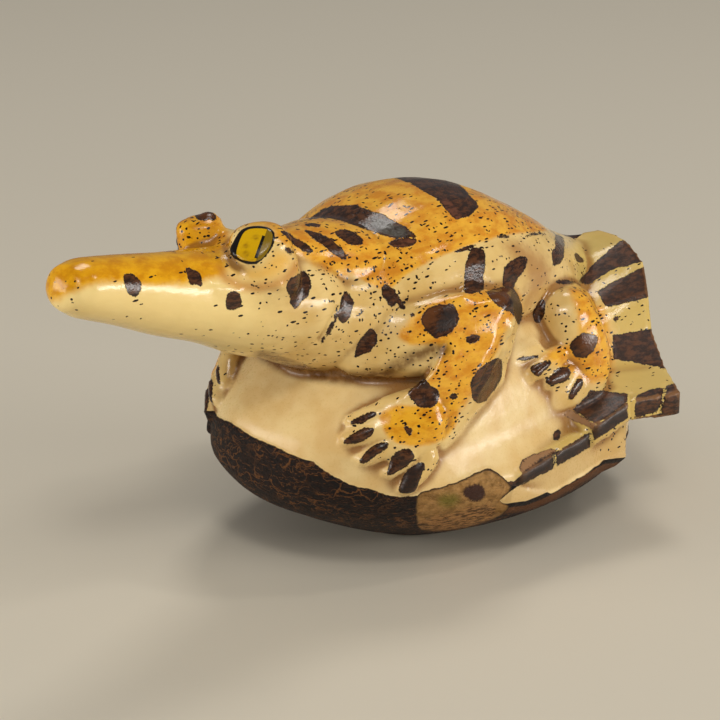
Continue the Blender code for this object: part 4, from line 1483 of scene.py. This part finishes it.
def painted_nut():
    """Ivory, stain, specks, marks, eyes, skin and scar over each other, varnished where it isn't woody."""
    look = Recipe("painted_nut")
    grain = Grain(look)
    cut = look.ragged(look.stored("under_cut"), grain.drift, 0.10)
    depth = look.ragged(look.stored("skin_depth"), grain.drift, 0.22)
    base = orange_stain(look, grain, bare_ivory(look, grain))
    base, inside, thick = dark_marks(look, grain, black_specks(look, grain, base))
    base, below, vein = nut_skin(look, grain, cut, depth, painted_eye(look, base))
    base, scarred = stalk_scar(look, grain, cut, depth, base)
    look.plug(look.surface.inputs["Base Color"], base)

    # Varnish, duller on the nut and on the tail's grained paint, and rough wood on the skin and scar
    woody = look.math("MAXIMUM", below, scarred)
    varnish = look.step(grain.fine, 0.3, 0.7, 0.14, 0.22)
    varnish = look.math("MULTIPLY_ADD", look.stored("on_nut"), 0.12, varnish)
    grained = look.times(inside, look.math("MAXIMUM", look.stored("greenish"), thick))
    varnish = look.math("MULTIPLY_ADD", grained, 0.26, varnish)
    rough = look.mix(woody, varnish, look.step(grain.fine, 0.3, 0.7, 0.8, 0.95))
    look.plug(look.surface.inputs["Roughness"], rough)
    for socket, value in GLOSS.items():
        look.surface.inputs[socket].default_value = value

    # Relief too fine for the mesh, in millimetres: varnish ripples, raised paint and a fibrous skin
    relief = (
        (grain.swell, 0.030), (grain.drift, 0.010), (grain.fine, 0.008), (inside, 0.015),
        (look.times(inside, grain.fine), 0.015), (look.times(woody, grain.streak), 0.22),
        (look.times(below, vein), 0.05),
    )
    height = 0.0
    for field, tallest in relief:
        height = look.math("MULTIPLY_ADD", field, tallest, height)
    bump = look.tree.nodes.new("ShaderNodeBump")
    bump.inputs["Strength"].default_value = 1.0
    bump.inputs["Distance"].default_value = 0.001
    look.plug(bump.inputs["Height"], height)
    for socket in ("Normal", "Coat Normal"):
        look.plug(look.surface.inputs[socket], bump.outputs["Normal"])
    return look.material


def plain_floor():
    """A pale square that reaches 1.5 m each way."""
    material = bpy.data.materials.new("pale_floor")
    material.use_nodes = True
    surface = material.node_tree.nodes["Principled BSDF"]
    surface.inputs["Base Color"].default_value = paint("floor")
    surface.inputs["Roughness"].default_value = 0.7
    mesh = bpy.data.meshes.new("floor")
    corners = [(-FLOOR_REACH, -FLOOR_REACH, 0), (FLOOR_REACH, -FLOOR_REACH, 0)]
    corners += [(FLOOR_REACH, FLOOR_REACH, 0), (-FLOOR_REACH, FLOOR_REACH, 0)]
    mesh.from_pydata(corners, [], [(0, 1, 2, 3)])
    mesh.materials.append(material)
    floor = bpy.data.objects.new("floor", mesh)
    bpy.context.scene.collection.objects.link(floor)
    return floor


# Camera and light

def aim(obj, place, target):
    """Puts an object at a place, with its front towards the target."""
    obj.location = place
    obj.rotation_mode = "QUATERNION"
    obj.rotation_quaternion = (Vector(target) - Vector(place)).to_track_quat("-Z", "Y")
    bpy.context.scene.collection.objects.link(obj)


def photo_camera():
    """The photograph's camera, moved to the frame as the carving's points are."""
    sight = photo_sight()
    lens = bpy.data.cameras.new("camera")
    lens.sensor_width = SENSOR
    lens.lens = LENS_PIXELS / PHOTO_SIZE * SENSOR
    lens.clip_start = 0.005
    camera = bpy.data.objects.new("camera", lens)
    eye = (sight.eye - (0, 0, RESTING_CUT)) * float(METRES.mean())
    aim(camera, eye.tolist(), (eye - sight.toward * 0.1).tolist())
    bpy.context.scene.camera = camera


def soft_lights():
    """One warm rectangle of light for each row of the table, and a faint bluish world."""
    for name, place, width, height, power in LIGHTS:
        lamp = bpy.data.lights.new(name, "AREA")
        lamp.shape = "RECTANGLE"
        lamp.size = width
        lamp.size_y = height
        lamp.energy = power
        lamp.color = LIGHT_COLOUR
        aim(bpy.data.objects.new(name, lamp), place, LIT_SPOT)
    world = bpy.data.worlds.new("studio")
    world.use_nodes = True
    background = world.node_tree.nodes["Background"]
    background.inputs["Color"].default_value = WORLD_COLOUR
    background.inputs["Strength"].default_value = WORLD_STRENGTH
    bpy.context.scene.world = world
    bpy.context.scene.view_settings.view_transform = "Standard"


crocodile = build_carving()
crocodile.data.materials.clear()
crocodile.data.materials.append(painted_nut())
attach(crocodile, "root")
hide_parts("crocodile_carving")
plain_floor()
photo_camera()
soft_lights()
